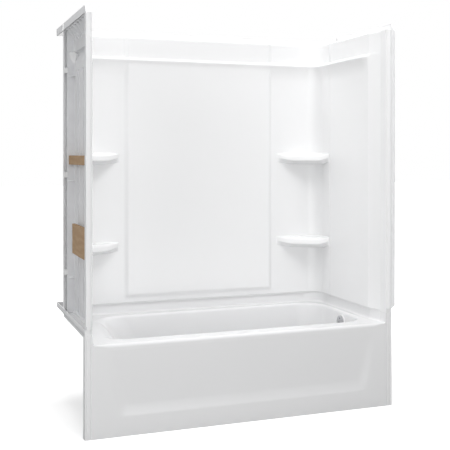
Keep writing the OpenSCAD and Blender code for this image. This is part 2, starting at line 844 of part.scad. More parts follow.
module overflow_elbow() {
    head_end = tube_x + collar_r;
    color(pipe)
        difference() {
            union() {
                along_x(head_x, waste_y, overflow_z)
                    cylinder(r = elbow_r, h = head_end - head_x);
                along_x(head_x, waste_y, overflow_z)
                    cylinder(r = elbow_r + 2, h = 3);
                translate([tube_x, waste_y, elbow_foot])
                    cylinder(r = collar_r, h = overflow_z - elbow_foot);
            }
            difference() {
                along_x(head_x - 1, waste_y, overflow_z)
                    cylinder(d = overflow_hole_d, h = head_end - head_x - 3);
                for (t = [-1, 1])
                    translate([head_x + 2, waste_y - 5, overflow_z + t * (screw_off + 3) - 6])
                        cube([7, 10, 12]);
            }
            translate([tube_x, waste_y, elbow_foot - 1])
                cylinder(r = bore_r, h = overflow_z - elbow_foot);
            translate([tube_x, waste_y, elbow_foot - 1])
                cylinder(r = socket_r, h = socket_h + 1);
            for (t = [-1, 1])
                along_x(head_x, waste_y, overflow_z + t * screw_off)
                    cylinder(r = screw_r + slip_fit, h = 12);
        }
}

module straight_tube(len) {
    difference() {
        cylinder(r = tube_r, h = len);
        translate([0, 0, -1])
            cylinder(r = bore_r, h = len + 2);
    }
}

tee_reach = 40;
tee_top = arm_z + tee_reach;
tee_foot = arm_z - tee_reach;
tee_side = tube_x - tee_reach;
shoe_side = drain_x + 36;
socket_rest = socket_h - 0.5;

module overflow_tube() {
    color(pipe)
        translate([tube_x, waste_y, tee_top - socket_rest])
            straight_tube(elbow_foot - tee_top + 2 * socket_rest);
}

module waste_arm() {
    color(pipe)
        along_x(shoe_side - socket_rest, waste_y, arm_z)
            straight_tube(tee_side - shoe_side + 2 * socket_rest);
}

module waste_tee() {
    color(pipe)
        difference() {
            union() {
                translate([tube_x, waste_y, tee_foot])
                    cylinder(r = collar_r, h = tee_top - tee_foot);
                along_x(tee_side, waste_y, arm_z)
                    cylinder(r = collar_r, h = tube_x - tee_side);
            }
            translate([tube_x, waste_y, tee_foot - 1])
                cylinder(r = bore_r, h = tee_top - tee_foot + 2);
            along_x(tee_side - 1, waste_y, arm_z)
                cylinder(r = bore_r, h = tube_x - tee_side + 1);
            translate([tube_x, waste_y, tee_top - socket_h])
                cylinder(r = socket_r, h = socket_h + 1);
            translate([tube_x, waste_y, tee_foot - 1])
                cylinder(r = socket_r, h = tail_rest + 1);
            along_x(tee_side - 1, waste_y, arm_z)
                cylinder(r = socket_r, h = socket_h + 1);
        }
}

tail_rest = 12;

// The groove marks how far the trap slides on.
module tailpiece() {
    foot = 2;
    groove_h = 1;
    groove_z = tee_foot - nut_lip - washer_t - 2 * groove_h;
    color(pipe)
        difference() {
            translate([tube_x, waste_y, foot])
                straight_tube(tee_foot + tail_rest - 0.5 - foot);
            translate([tube_x, waste_y, groove_z])
                difference() {
                    cylinder(r = tube_r + 1, h = groove_h);
                    translate([0, 0, -1])
                        cylinder(r = tube_r - 0.5, h = groove_h + 2);
                }
        }
}

// Joints of the tubes: the point of each socket mouth and the way that the tube leaves it.
module at_joints() {
    translate([tube_x, waste_y, elbow_foot])
        rotate([180, 0, 0])
            children();
    translate([tube_x, waste_y, tee_top])
        children();
    translate([tube_x, waste_y, tee_foot])
        rotate([180, 0, 0])
            children();
    translate([tee_side, waste_y, arm_z])
        rotate([0, -90, 0])
            children();
    translate([shoe_side, waste_y, arm_z])
        rotate([0, 90, 0])
            children();
}

module slip_nuts() {
    grip = nut_h - nut_lip - washer_t;
    color(pipe)
        at_joints()
            difference() {
                translate([0, 0, -grip])
                    cylinder(r = nut_r, h = nut_h, $fn = 12);
                translate([0, 0, -grip - 1])
                    cylinder(r = collar_r + slip_fit, h = nut_h - nut_lip + 1);
                cylinder(r = socket_r, h = nut_h);
            }
}

module slip_washers() {
    color(rubber)
        at_joints()
            difference() {
                cylinder(r = collar_r, h = washer_t);
                translate([0, 0, -1])
                    cylinder(r = tube_r, h = washer_t + 2);
            }
}

// Lever, rod and rocker
pin_r = 1.5;
rod_r = 1.6;
rest_tilt = -lever_swing / 2;
pin_z = overflow_z + lever_arm * sin(lever_swing / 2);
bar_h = 6;
spring_len = 38;
spring_r = 8;
spring_wall = 1.6;

module trip_lever() {
    handle = pivot_x - pad_x + plate_dome + 20;
    color(chrome)
        translate([pivot_x, waste_y, overflow_z])
            rotate([0, rest_tilt, 0]) {
                translate([-handle, -lever_w / 2, -lever_h / 2])
                    cube([handle + lever_arm, lever_w, lever_h]);
                translate([-handle, lever_w / 2 + 1, 0])
                    rotate([90, 0, 0])
                        cylinder(r = 4, h = lever_w + 2);
                rotate([90, 0, 0])
                    translate([0, 0, -lever_w / 2 - 1 - cheek_t])
                        cylinder(r = pivot_r, h = lever_w + 2 + 2 * cheek_t);
                translate([lever_arm, 7, 0])
                    rotate([90, 0, 0])
                        cylinder(r = pin_r, h = 8);
            }
}

module lift_rod() {
    foot = arm_z + bar_h / 2 + push_gap + spring_len - 12;
    neck = pin_z - 12;
    color(brass)
        difference() {
            union() {
                translate([tube_x, waste_y, foot])
                    cylinder(r = rod_r, h = neck + 1 - foot);
                translate([tube_x - 4, waste_y - rod_r, neck])
                    cube([8, rod_r + 5.5, 3]);
                translate([tube_x - 7, waste_y + 3.5, neck])
                    cube([14, 2, 18]);
            }
            translate([tube_x - 5, waste_y + 2, pin_z - pin_r - 0.3])
                cube([10, 5, 2 * pin_r + 0.6]);
        }
}

module rod_locknut() {
    color(brass)
        translate([tube_x, waste_y, arm_z + bar_h / 2 + push_gap + spring_len])
            difference() {
                cylinder(r = spring_r, h = 4, $fn = 6);
                translate([0, 0, -1])
                    cylinder(r = rod_r + run_fit, h = 6);
            }
}

// Closed coil spring at the foot of the rod
module lift_spring() {
    color(chrome)
        translate([tube_x, waste_y, arm_z + bar_h / 2 + push_gap])
            difference() {
                cylinder(r = spring_r, h = spring_len);
                translate([0, 0, 2])
                    cylinder(r = spring_r - spring_wall, h = spring_len);
            }
}

module rocker_arm() {
    pivot = (drain_x + tube_x) / 2;
    foot_r = bore_r - push_gap;
    color(brass)
        translate([pivot, waste_y, arm_z]) {
            translate([drain_x - pivot - 5, -2, -bar_h / 2])
                cube([tube_x - drain_x + 10, 4, bar_h]);
            intersection() {
                rotate([90, 0, 0])
                    translate([0, 0, -2])
                        cylinder(r = foot_r, h = 4);
                translate([-10, -3, -foot_r - 1])
                    cube([20, 6, foot_r + 1]);
            }
        }
}

// Drain
flange_t = 2.5;
thread_r = drain_hole_d / 2 - 1.5;
drain_gasket_t = 3;
shoe_top = basin_floor_h - bath_t - drain_gasket_t;
thread_foot = shoe_top - 10;
seat_r = thread_r - 3;
hub_r = stem_d / 2 + 2.5;

module drain_flange() {
    color(chrome)
        translate([drain_x, waste_y, 0])
            difference() {
                union() {
                    translate([0, 0, basin_floor_h])
                        cylinder(d1 = drain_flange_d, d2 = drain_flange_d - 8, h = flange_t);
                    translate([0, 0, thread_foot])
                        cylinder(r = thread_r, h = basin_floor_h - thread_foot + eps);
                }
                difference() {
                    translate([0, 0, thread_foot - 1])
                        cylinder(r = seat_r, h = 40);
                    translate([-seat_r - 1, -1.5, thread_foot])
                        cube([2 * seat_r + 2, 3, 5]);
                    translate([0, 0, thread_foot])
                        cylinder(r = hub_r, h = 5);
                }
                translate([0, 0, thread_foot - 1])
                    cylinder(r = stem_d / 2 + run_fit, h = 7);
            }
}

module drain_gasket() {
    color(rubber)
        translate([drain_x, waste_y, shoe_top])
            difference() {
                cylinder(r = thread_r + 12, h = drain_gasket_t);
                translate([0, 0, -1])
                    cylinder(r = thread_r + slip_fit, h = drain_gasket_t + 2);
            }
}

module drain_shoe() {
    foot = arm_z - bore_r - 4;
    color(pipe)
        difference() {
            union() {
                translate([drain_x, waste_y, shoe_top - 4])
                    cylinder(r = thread_r + 12, h = 4);
                translate([drain_x, waste_y, foot])
                    cylinder(r = thread_r + 3, h = shoe_top - foot);
                along_x(drain_x, waste_y, arm_z)
                    cylinder(r = collar_r, h = shoe_side - drain_x);
            }
            translate([drain_x, waste_y, thread_foot - 1])
                cylinder(r = thread_r + slip_fit, h = 20);
            translate([drain_x, waste_y, foot + 4])
                cylinder(r = bore_r, h = shoe_top - foot);
            along_x(drain_x, waste_y, arm_z)
                cylinder(r = bore_r, h = shoe_side - drain_x + 1);
            along_x(shoe_side - socket_h, waste_y, arm_z)
                cylinder(r = socket_r, h = socket_h + 1);
        }
}

cap_z = basin_floor_h + flange_t + 1.2;

module stopper_cap() {
    color(chrome)
        translate([drain_x, waste_y, cap_z])
            difference() {
                rotate_extrude()
                    polygon([
                        [0, 0], [stopper_d / 2, 0], [stopper_d / 2, 1.2], [stopper_d * 0.44, 2.6],
                        [stopper_d * 0.3, 4], [0, 4.8]]);
                translate([0, 0, -1])
                    cylinder(d = stem_d + 2 * run_fit, h = 3);
            }
}

module stopper_seal() {
    color(rubber)
        translate([drain_x, waste_y, cap_z - 1])
            difference() {
                cylinder(r = stopper_d / 2 - 1.5, h = 1);
                translate([0, 0, -1])
                    cylinder(d = stem_d + 2 * run_fit, h = 3);
            }
}

module stopper_stem() {
    foot = arm_z + bar_h / 2 + push_gap;
    color(brass)
        translate([drain_x, waste_y, foot])
            cylinder(d = stem_d, h = cap_z + 2 - foot);
}

bath();
support_pad();
back_wall();
left_end_wall();
right_end_wall();
left_grab_board();
left_narrow_board();
right_grab_board();
right_narrow_board();
back_grab_board();
left_seam_clips();
right_seam_clips();
overflow_plate();
overflow_screws();
overflow_gasket();
overflow_elbow();
overflow_tube();
trip_lever();
lift_rod();
rod_locknut();
lift_spring();
rocker_arm();
drain_flange();
drain_gasket();
drain_shoe();
stopper_cap();
stopper_seal();
stopper_stem();
waste_arm();
waste_tee();
slip_nuts();
slip_washers();
tailpiece();
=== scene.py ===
import json
import math

import bmesh
import bpy
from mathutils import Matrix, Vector, geometry


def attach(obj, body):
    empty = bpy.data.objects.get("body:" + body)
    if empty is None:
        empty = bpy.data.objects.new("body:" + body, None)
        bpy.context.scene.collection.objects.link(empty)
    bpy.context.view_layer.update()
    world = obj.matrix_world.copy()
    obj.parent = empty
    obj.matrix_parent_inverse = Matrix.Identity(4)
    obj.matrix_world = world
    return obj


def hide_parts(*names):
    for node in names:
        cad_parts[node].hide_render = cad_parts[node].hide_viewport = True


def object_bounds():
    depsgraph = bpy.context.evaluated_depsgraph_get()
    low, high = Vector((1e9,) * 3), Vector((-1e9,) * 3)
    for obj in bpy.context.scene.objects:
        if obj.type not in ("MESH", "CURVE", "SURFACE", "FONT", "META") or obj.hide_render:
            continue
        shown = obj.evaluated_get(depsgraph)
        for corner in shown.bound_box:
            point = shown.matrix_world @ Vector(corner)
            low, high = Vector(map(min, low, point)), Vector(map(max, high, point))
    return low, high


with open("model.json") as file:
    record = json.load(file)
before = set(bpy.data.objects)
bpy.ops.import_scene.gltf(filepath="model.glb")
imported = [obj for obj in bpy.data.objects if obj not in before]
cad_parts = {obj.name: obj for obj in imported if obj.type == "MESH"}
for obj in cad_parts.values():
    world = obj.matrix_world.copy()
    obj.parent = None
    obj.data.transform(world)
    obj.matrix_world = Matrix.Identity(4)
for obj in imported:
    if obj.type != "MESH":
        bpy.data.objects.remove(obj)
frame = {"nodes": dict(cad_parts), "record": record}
cadBox = [[float(value) for value in corner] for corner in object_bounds()]
print("frame loaded with", len(frame["nodes"]), "nodes")

# Sizes that several pieces share, in millimetres: the outer ones come from the frame's box.
millimetre = 0.001
hair = 0.01  # a distance too small to show
endX, halfY, topZ = (round(value / millimetre, 2) for value in cadBox[1])
room = {
    "endX": endX, "frontY": hair - halfY, "backY": halfY - hair, "topZ": topZ,
    "apronY": -366, "panelY": 334, "seamY": 186,
    "columnX": endX - 32, "panelX": endX - 59, "edgeX": endX - 5.2,
    "deckZ": 408, "ledgeZ": 458, "flangeHigh": 20, "topPlateZ": topZ - 30,
    "columnDeep": 50, "slopeDeep": 78, "columnRound": 26, "wrapRadius": 90,
    "ledgeFrom": 40, "ledgeOver": 60,  # behind the apron, where the ledge widens
}
room["slopeY"] = room["apronY"] + room["columnDeep"] + room["slopeDeep"]
room["flangeZ"] = room["ledgeZ"] + room["flangeHigh"]


def shade(red, green, blue):
    return (red, green, blue, 1.0)


# A socket that can be used in an expression
class Wire:
    def __init__(self, graph, socket):
        self.graph = graph
        self.socket = socket

    def maths(self, operation, first, second):
        return self.graph.node("ShaderNodeMath", {"operation": operation}, {0: first, 1: second})

    def __add__(self, other):
        return self.maths("ADD", self, other)

    def __radd__(self, other):
        return self.maths("ADD", other, self)

    def __mul__(self, other):
        return self.maths("MULTIPLY", self, other)

    def __rmul__(self, other):
        return self.maths("MULTIPLY", other, self)


# The node tree of a material or of the world
class Graph:
    def __init__(self, owner):
        self.owner = owner
        owner.use_nodes = True
        self.tree = owner.node_tree
        self.tree.nodes.clear()

    def node(self, kind, settings=None, sockets=None, out=0):
        made = self.tree.nodes.new(kind)
        for key, value in (settings or {}).items():
            if key == "stops":
                for element, (place, colour) in zip(made.color_ramp.elements, value):
                    element.position = place
                    element.color = colour
            else:
                setattr(made, key, value)
        for key, value in (sockets or {}).items():
            if isinstance(value, Wire):
                self.tree.links.new(value.socket, made.inputs[key])
            else:
                made.inputs[key].default_value = value
        return Wire(self, made.outputs[out]) if len(made.outputs) else None

    # 1 for a ray from the camera or a reflection, and 0 for the light that falls on the object
    def seen(self):
        camera = self.node("ShaderNodeLightPath", out="Is Camera Ray")
        gloss = self.node("ShaderNodeLightPath", out="Is Glossy Ray")
        return camera + gloss


# A material under construction
class Finish(Graph):
    def __init__(self, name):
        super().__init__(bpy.data.materials.new(name))

    # Sockets 6 and 7 of a Mix node are its two colours, and its output 2 is their blend.
    def blend(self, mask, first, second):
        return self.node("ShaderNodeMix", {"data_type": "RGBA"}, {0: mask, 6: first, 7: second}, out=2)

    def place(self, stretch=(1, 1, 1)):
        spot = self.node("ShaderNodeTexCoord", out="Object")
        return self.node("ShaderNodeMapping", None, {"Vector": spot, "Scale": stretch})

    def noise(self, spot, scale, detail=2.0, rough=0.5):
        return self.node("ShaderNodeTexNoise", None, {
            "Vector": spot, "Scale": scale, "Detail": detail, "Roughness": rough})

    # A grey ramp between two (level, grey) stops
    def ramp(self, level, *stops):
        return self.node("ShaderNodeValToRGB", {
            "stops": [(place, shade(grey, grey, grey)) for place, grey in stops]}, {"Fac": level})

    def bump(self, height, strength, distance):
        return self.node("ShaderNodeBump", None, {
            "Height": height, "Strength": strength, "Distance": distance})

    def surface(self, **sockets):
        named = {key.replace("_", " "): value for key, value in sockets.items()}
        shader = self.node("ShaderNodeBsdfPrincipled", None, named)
        self.node("ShaderNodeOutputMaterial", None, {"Surface": shader})
        return self.owner


# Moulded white: the bath and the walls are glossy, and the sides that face the studs are raw; the bath and
# the raw sides both carry painted shade.
gloss = {"cloud": 2.4, "roughness": 0.2, "uneven": 0.06, "ripple": 0.05, "coat": 0.35}
raw = {"cloud": 14.0, "roughness": 0.6, "uneven": 0.06, "ripple": 0.3, "coat": 0.0}
whites = {
    # the bath's white is the walls' own white made darker: painted shade
    "bathGloss": gloss | {"bright": shade(0.802, 0.804, 0.810), "dim": shade(0.788, 0.790, 0.796)},
    "wallGloss": gloss | {"bright": shade(0.872, 0.874, 0.878), "dim": shade(0.860, 0.862, 0.867)},
    # the raw sides are rough and uncoated, and their white is darker than the walls' as painted shade
    "shellBack": raw | {"bright": shade(0.86, 0.865, 0.875), "dim": shade(0.74, 0.745, 0.76)},
}


def makeWhiteShell(name, look):
    finish = Finish(name)
    spot = finish.place()
    cloud = finish.noise(spot, scale=look["cloud"])
    ripple = finish.noise(spot, scale=26.0, detail=1.0)
    return finish.surface(
        Base_Color=finish.blend(cloud, look["bright"], look["dim"]),
        Roughness=look["roughness"] + cloud * look["uneven"],
        Coat_Weight=look["coat"],
        Coat_Roughness=0.08,
        Normal=finish.bump(ripple, strength=look["ripple"], distance=0.002))


clipPlastic = {
    "bright": shade(0.9, 0.9, 0.9), "dim": shade(0.86, 0.86, 0.86), "roughness": 0.4, "uneven": 0.15,
}


def makeClipPlastic(name, look):
    finish = Finish(name)
    grain = finish.noise(finish.place(), scale=220.0)
    return finish.surface(
        Base_Color=finish.blend(grain, look["bright"], look["dim"]),
        Roughness=look["roughness"] + grain * look["uneven"],
        Normal=finish.bump(grain, strength=0.15, distance=0.0004))


plywood = {
    "pale": shade(0.385, 0.257, 0.142), "warm": shade(0.308, 0.188, 0.092), "dark": shade(0.17, 0.092, 0.042),
    "grainLong": 14.0, "patchy": 0.35, "roughness": 0.62, "uneven": 0.2,
}


# Face grain runs along the board, and the sawn edges show the plies.
def makePlywood(name, look, along):
    finish = Finish(name)
    narrow = look["grainLong"]
    spot = finish.place((1.0, narrow, narrow) if along == "x" else (narrow, 1.0, narrow))
    growth = finish.noise(spot, scale=3.2, detail=6.0, rough=0.62)
    fibre = finish.noise(spot, scale=22.0, detail=4.0, rough=0.7)
    plies = finish.node("ShaderNodeTexWave", {"bands_direction": "Z"}, {
        "Vector": finish.place((0.4, 0.4, 1.0)), "Scale": 9.0,
        "Distortion": 9.0, "Detail": 3.0, "Detail Scale": 1.4})
    patch = finish.noise(finish.place((5.0, 5.0, 9.0)), scale=2.0, detail=1.0)
    streak = finish.ramp(growth * 0.6 + fibre * 0.25 + plies * 0.15, (0.36, 0.0), (0.62, 1.0))
    pore = finish.ramp(fibre, (0.60, 0.0), (0.72, 0.75))
    colour = finish.blend(streak, look["warm"], look["pale"])
    colour = finish.blend(pore, colour, look["dark"])
    colour = finish.blend(patch * look["patchy"], colour, look["warm"])
    return finish.surface(
        Base_Color=colour,
        Roughness=look["roughness"] + fibre * look["uneven"],
        Normal=finish.bump(fibre + growth, strength=0.5, distance=0.0006))


# The chrome's colour is darkened as painted shade on every chrome part, for the shadow at the overflow plate.
metals = {
    "polished": {"bright": shade(0.6, 0.605, 0.62), "dull": shade(0.5, 0.505, 0.52),
                 "roughness": 0.08, "brushed": 0.0},
    "drawnBrass": {"bright": shade(0.74, 0.56, 0.28), "dull": shade(0.62, 0.45, 0.2),
                   "roughness": 0.26, "brushed": 0.1},
    "springWire": {"bright": shade(0.55, 0.56, 0.58), "dull": shade(0.44, 0.45, 0.47),
                   "roughness": 0.3, "brushed": 0.1},
}


def makeMetal(name, look):
    finish = Finish(name)
    smear = finish.noise(finish.place(), scale=34.0, detail=3.0)
    fine = finish.noise(finish.place((1.0, 1.0, 18.0)), scale=120.0)
    return finish.surface(
        Base_Color=finish.blend(smear, look["bright"], look["dull"]),
        Metallic=1.0,
        Roughness=look["roughness"] + smear * 0.05 + fine * look["brushed"],
        Normal=finish.bump(fine, strength=0.02 + look["brushed"], distance=0.0003))


mattes = {
    "blackRubber": {"bright": shade(0.028, 0.028, 0.03), "dull": shade(0.04, 0.04, 0.04),
                    "roughness": 0.6, "grain": 320.0, "depth": 0.3},
    "pipePlastic": {"bright": shade(0.035, 0.035, 0.038), "dull": shade(0.022, 0.022, 0.024),
                    "roughness": 0.32, "grain": 60.0, "depth": 0.08},
}


def makeMatte(name, look):
    finish = Finish(name)
    grain = finish.noise(finish.place(), scale=look["grain"], detail=3.0)
    cloud = finish.noise(finish.place(), scale=12.0)
    return finish.surface(
        Base_Color=finish.blend(cloud, look["bright"], look["dull"]),
        Roughness=look["roughness"] + grain * 0.12,
        Normal=finish.bump(grain, strength=look["depth"], distance=0.0006))


foam = {"bright": shade(0.84, 0.85, 0.86), "dim": shade(0.62, 0.63, 0.65), "beads": 210.0, "roughness": 0.75}


# Moulded foam shows its beads.
def makeFoam(name, look):
    finish = Finish(name)
    beads = finish.node("ShaderNodeTexVoronoi", {"feature": "F1"}, {
        "Vector": finish.place(), "Scale": look["beads"]})
    return finish.surface(
        Base_Color=finish.blend(beads, look["bright"], look["dim"]),
        Roughness=look["roughness"] + beads * 0.1,
        Normal=finish.bump(beads, strength=0.5, distance=0.001))


bathGloss, wallGloss, shellBack = [makeWhiteShell(name, look) for name, look in whites.items()]
polished, drawnBrass, springWire = [makeMetal(name, look) for name, look in metals.items()]
blackRubber, pipePlastic = [makeMatte(name, look) for name, look in mattes.items()]
boardSide = makePlywood("boardSide", plywood, "y")
boardBack = makePlywood("boardBack", plywood, "x")
finishes = {
    "white_shell": wallGloss, "clip": makeClipPlastic("clipWhite", clipPlastic), "board": boardSide,
    "chrome": polished, "brass": drawnBrass, "spring_steel": springWire,
    "rubber": blackRubber, "waste_pipe": pipePlastic, "foam": makeFoam("beadFoam", foam),
}
for part in frame["record"]["subparts"]:
    for materialSlot in frame["nodes"][part["node"]].material_slots:
        materialSlot.material = finishes[part["material_slot"]]
print("materials made:", len(finishes))

# Hardware whose edges get a small round, in millimetres
softened = {
    "left_seam_clips": 0.7, "right_seam_clips": 0.7, "overflow_plate": 0.3,
    "trip_lever": 0.5, "slip_nuts": 0.5, "rod_locknut": 0.3,
}
weldGap = 0.002


def soften(piece, width, angle=35):
    bevel = piece.modifiers.new("softEdges", "BEVEL")
    bevel.width = width * millimetre
    bevel.segments = 2
    bevel.limit_method = "ANGLE"
    bevel.angle_limit = math.radians(angle)
    bevel.use_clamp_overlap = True


for nodeName, roundWidth in softened.items():
    joined = frame["nodes"][nodeName].modifiers.new("joined", "WELD")
    joined.merge_threshold = weldGap * millimetre
    soften(frame["nodes"][nodeName], roundWidth)
print("hardware softened:", len(softened))


# Geometry helpers: plans and profiles are lists of 2-D vectors in millimetres.
def plane(*points):
    return [Vector(point) for point in points]


# Rounds the inner corners of a line, each with its own radius, with a fixed count of points.
# A round takes up to the given share of a side, and a corner over the straight angle gets none.
def rounded(points, radii, steps, share=0.48, straight=3.1, leastRadius=0.01):
    made = [points[0]]
    for index in range(1, len(points) - 1):
        corner = points[index]
        before = points[index - 1] - corner
        after = points[index + 1] - corner
        angle = before.angle(after, math.pi)
        reach = radii[index - 1] / math.tan(angle / 2) if angle < straight else 0.0
        reach = min(reach, before.length * share, after.length * share)
        radius = reach * math.tan(angle / 2)
        start = corner + before.normalized() * reach
        stop = corner + after.normalized() * reach
        if radius < leastRadius:
            made += [start.lerp(stop, step / steps) for step in range(steps + 1)]
            continue
        centre = corner + (before.normalized() + after.normalized()).normalized() * math.hypot(radius, reach)
        first = math.atan2(*(start - centre).yx)
        turn = math.atan2(*(stop - centre).yx) - first
        turn = (turn + math.pi) % (2 * math.pi) - math.pi
        for step in range(steps + 1):
            angle = first + turn * step / steps
            made.append(centre + Vector((math.cos(angle), math.sin(angle))) * radius)
    return made + [points[-1]]


# Leaves out points that lie on the one before.
def tidyLine(points, gap=0.02):
    made = [points[0]]
    for point in points[1:]:
        if (point - made[-1]).length > gap:
            made.append(point)
    return made


# Spreads a count of equal steps along a line.
def evenly(points, count):
    lengths = [0.0]
    for a, b in zip(points, points[1:]):
        lengths.append(lengths[-1] + (b - a).length)
    made = []
    for step in range(count + 1):
        target = lengths[-1] * step / count
        index = next(i for i in range(len(points) - 1) if lengths[i + 1] >= target - 1e-6)
        span = max(lengths[index + 1] - lengths[index], 1e-6)
        made.append(points[index].lerp(points[index + 1], (target - lengths[index]) / span))
    return made


# Left-hand normals of an open line, stretched at corners so that an offset keeps its width.
def sideways(points):
    made = []
    for index in range(len(points)):
        a = points[max(index - 1, 0)]
        b = points[index]
        c = points[min(index + 1, len(points) - 1)]
        before = (b - a).normalized() if index > 0 else (c - b).normalized()
        after = (c - b).normalized() if index < len(points) - 1 else before
        first = Vector((-before.y, before.x))
        second = Vector((-after.y, after.x))
        made.append((first + second) / (1 + first.dot(second)))
    return made


def mirrored(point):
    return Vector((-point.x, point.y))


def smoothMin(a, b, soft):
    mix = max(soft - abs(a - b), 0.0) / soft
    return min(a, b) - mix * mix * soft * 0.25


def smoothMax(a, b, soft):
    return -smoothMin(-a, -b, soft)


def easeStep(value):
    value = min(max(value, 0.0), 1.0)
    return value * value * (3 - 2 * value)


# Sines and cosines over a quarter turn, in equal steps
def quarter(steps, first=1):
    angles = [math.radians(90 * step / steps) for step in range(first, steps + 1)]
    return [(math.sin(angle), math.cos(angle)) for angle in angles]


def gridFaces(bm, rows, ring=False):
    made = [[bm.verts.new(point) for point in row] for row in rows]
    faces = []
    for first, second in zip(made, made[1:]):
        count = len(first)
        for index in range(count if ring else count - 1):
            after = (index + 1) % count
            faces.append(bm.faces.new((first[index], first[after], second[after], second[index])))
    return made, faces


# Turns an open surface so that its faces look the given way on the whole.
def faceTowards(bm, faces, way):
    bmesh.ops.recalc_face_normals(bm, faces=faces)
    if sum(face.normal.dot(way) * face.calc_area() for face in faces) < 0:
        bmesh.ops.reverse_faces(bm, faces=faces)


# Gives an open surface its thickness, away from its front side.
def thicken(bm, faces, thickness, mostStretch=1.6):
    bm.normal_update()
    backs = dict.fromkeys(vertex for face in faces for vertex in face.verts)
    for vertex in backs:
        stretch = min(vertex.calc_shell_factor(), mostStretch)
        backs[vertex] = bm.verts.new(vertex.co - vertex.normal * thickness * stretch)
    known = set(faces)
    edges = dict.fromkeys(edge for face in faces for edge in face.edges)
    rims = [edge for edge in edges if len([face for face in edge.link_faces if face in known]) == 1]
    for face in faces:
        bm.faces.new([backs[vertex] for vertex in reversed(face.verts)]).material_index = 1
    for edge in rims:
        loop = next(loop for loop in edge.link_loops if loop.face in known)
        a = loop.vert
        b = loop.link_loop_next.vert
        bm.faces.new((b, a, backs[a], backs[b]))


# A flat plate: its outline in two axes, and its extent along the third
def plate(bm, axis, outline, low, high, materialIndex=0):
    def corner(u, v, w):
        return {"x": (w, u, v), "y": (u, w, v), "z": (u, v, w)}[axis]
    bottom = [bm.verts.new(corner(u, v, low)) for u, v in outline]
    top = [bm.verts.new(corner(u, v, high)) for u, v in outline]
    made = [bm.faces.new(list(reversed(bottom))), bm.faces.new(top)]
    for index in range(len(outline)):
        after = (index + 1) % len(outline)
        made.append(bm.faces.new((bottom[index], bottom[after], top[after], top[index])))
    bmesh.ops.recalc_face_normals(bm, faces=made)
    for face in made:
        face.material_index = materialIndex


def block(bm, low, high, materialIndex=0):
    outline = [(low[0], low[1]), (high[0], low[1]), (high[0], high[1]), (low[0], high[1])]
    plate(bm, "z", outline, low[2], high[2], materialIndex)


# Turns a closed profile of (radius, depth) round a line along x.
def turned(bm, centre, profile, steps=64):
    rows = []
    for step in range(steps):
        angle = 2 * math.pi * step / steps
        rows.append([centre + Vector((depth, radius * math.cos(angle), radius * math.sin(angle)))
                     for radius, depth in profile])
    made, _ = gridFaces(bm, rows + [rows[0]], ring=True)
    bmesh.ops.remove_doubles(bm, verts=[vertex for row in made for vertex in row], dist=0.001)


outside = {"facing": 0.5, "beyondX": 700, "beyondY": 340}


# The faces that look away from the room are raw, and their darker white is painted shade.
def rawShadedOutside(bm):
    bm.normal_update()
    for face in bm.faces:
        spot = face.calc_center_median()
        outward = face.normal.x * spot.x > outside["facing"] * abs(spot.x)
        atEnd = outward and abs(spot.x) > outside["beyondX"]
        atBack = face.normal.y > outside["facing"] and spot.y > outside["beyondY"]
        if atEnd or atBack:
            face.material_index = 1


def addObject(name, data):
    made = bpy.data.objects.new(name, data)
    bpy.context.scene.collection.objects.link(made)
    return made


# Makes an object from a mesh in millimetres, with a small round on its sharp edges where one is given.
def makePiece(name, bm, materials, replaced, body="shell",
              edgeRound=0.0, angle=35, fixNormals=True):
    bmesh.ops.dissolve_degenerate(bm, edges=bm.edges, dist=0.0005)
    if fixNormals:
        bmesh.ops.recalc_face_normals(bm, faces=bm.faces)
    bmesh.ops.scale(bm, vec=(millimetre, millimetre, millimetre), verts=bm.verts)
    mesh = bpy.data.meshes.new(name)
    bm.to_mesh(mesh)
    bm.free()
    for material in materials:
        mesh.materials.append(material)
    piece = addObject(name, mesh)
    mesh.shade_smooth()
    if edgeRound:
        soften(piece, edgeRound, angle)
    mesh.set_sharp_from_angle(angle=math.radians(angle))
    weighted = piece.modifiers.new("evenShading", "WEIGHTED_NORMAL")
    weighted.keep_sharp = True
    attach(piece, body)
    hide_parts(*replaced)
    print("piece", name, "faces", len(mesh.polygons))


sides = {"right": 1, "left": -1}

# Bath
bathSizes = {
    "thickness": 5,
    "rimFront": 84, "rimRight": 74, "rimLeft": 132, "rimLeftSkew": 46, "rimBack": 26, "rimBackSkew": 34,
    "corner": 160, "cornerFrontLeft": 92, "cornerLeast": 48, "cornerSteps": 14, "sideSteps": 12,
    "lean": 150, "leanTop": -28, "leanRoll": 36, "rollShare": 0.16,  # how far the backrest leans in
    "floorZ": 100, "edgeRadius": 14, "footRadius": 60, "draftTop": 12.4, "draftFoot": 46.7,
    "beforeEdge": 30, "beyondFoot": 260, "roundSteps": 12, "wallSteps": 14, "wallSpread": 1.6,
    "coveWide": 15, "coveDraft": 3, "coveBack": 14, "coveSteps": 7, "coveShares": (0.35, 0.7, 1.0),
    "noseRadius": 15, "endNose": 4, "noseEase": 60, "noseSteps": 9, "springSteps": 5,
    "deckSteps": 60, "stripX": (732, 733.2, 734.5, 735.8, 737.5, 742, 748, 751, 753, 755, 758),
    "grooves": ((734.5, 1.6), (753, 2.2)), "grooveDeep": 2.2, "grooveLeast": 0.03,  # (place, width)
    "frontZ": [0, 30, 60] + list(range(70, 142, 3)) + list(range(150, 388, 14)),  # close at the recess's foot
    "recessLow": 88, "recessTop": 385, "recessHalfLow": 611, "recessHalfHigh": 674,
    "recessDeep": 10, "recessBevel": 32, "recessSoft": 8, "recessEase": 1.6, "recessLeast": 0.1,
    "drainX": 530, "wasteY": -12, "drainRadius": 23, "drainFlat": 1.6, "floorShares": (0.25, 0.5, 0.75),
    "padX": 666, "padRadius": 44, "padDeep": 9, "padBevel": 1.2, "holeRadius": 27, "holeMargin": 4,
    "overflowZ": 349, "overflowWall": 600,
    "flangeDrop": 19, "flangeIn": 2, "rearDrop": 4, "return": 38, "returnIn": 1,
    "stripWide": 27, "stripIn": 1.8, "stripDrop": 8,
}


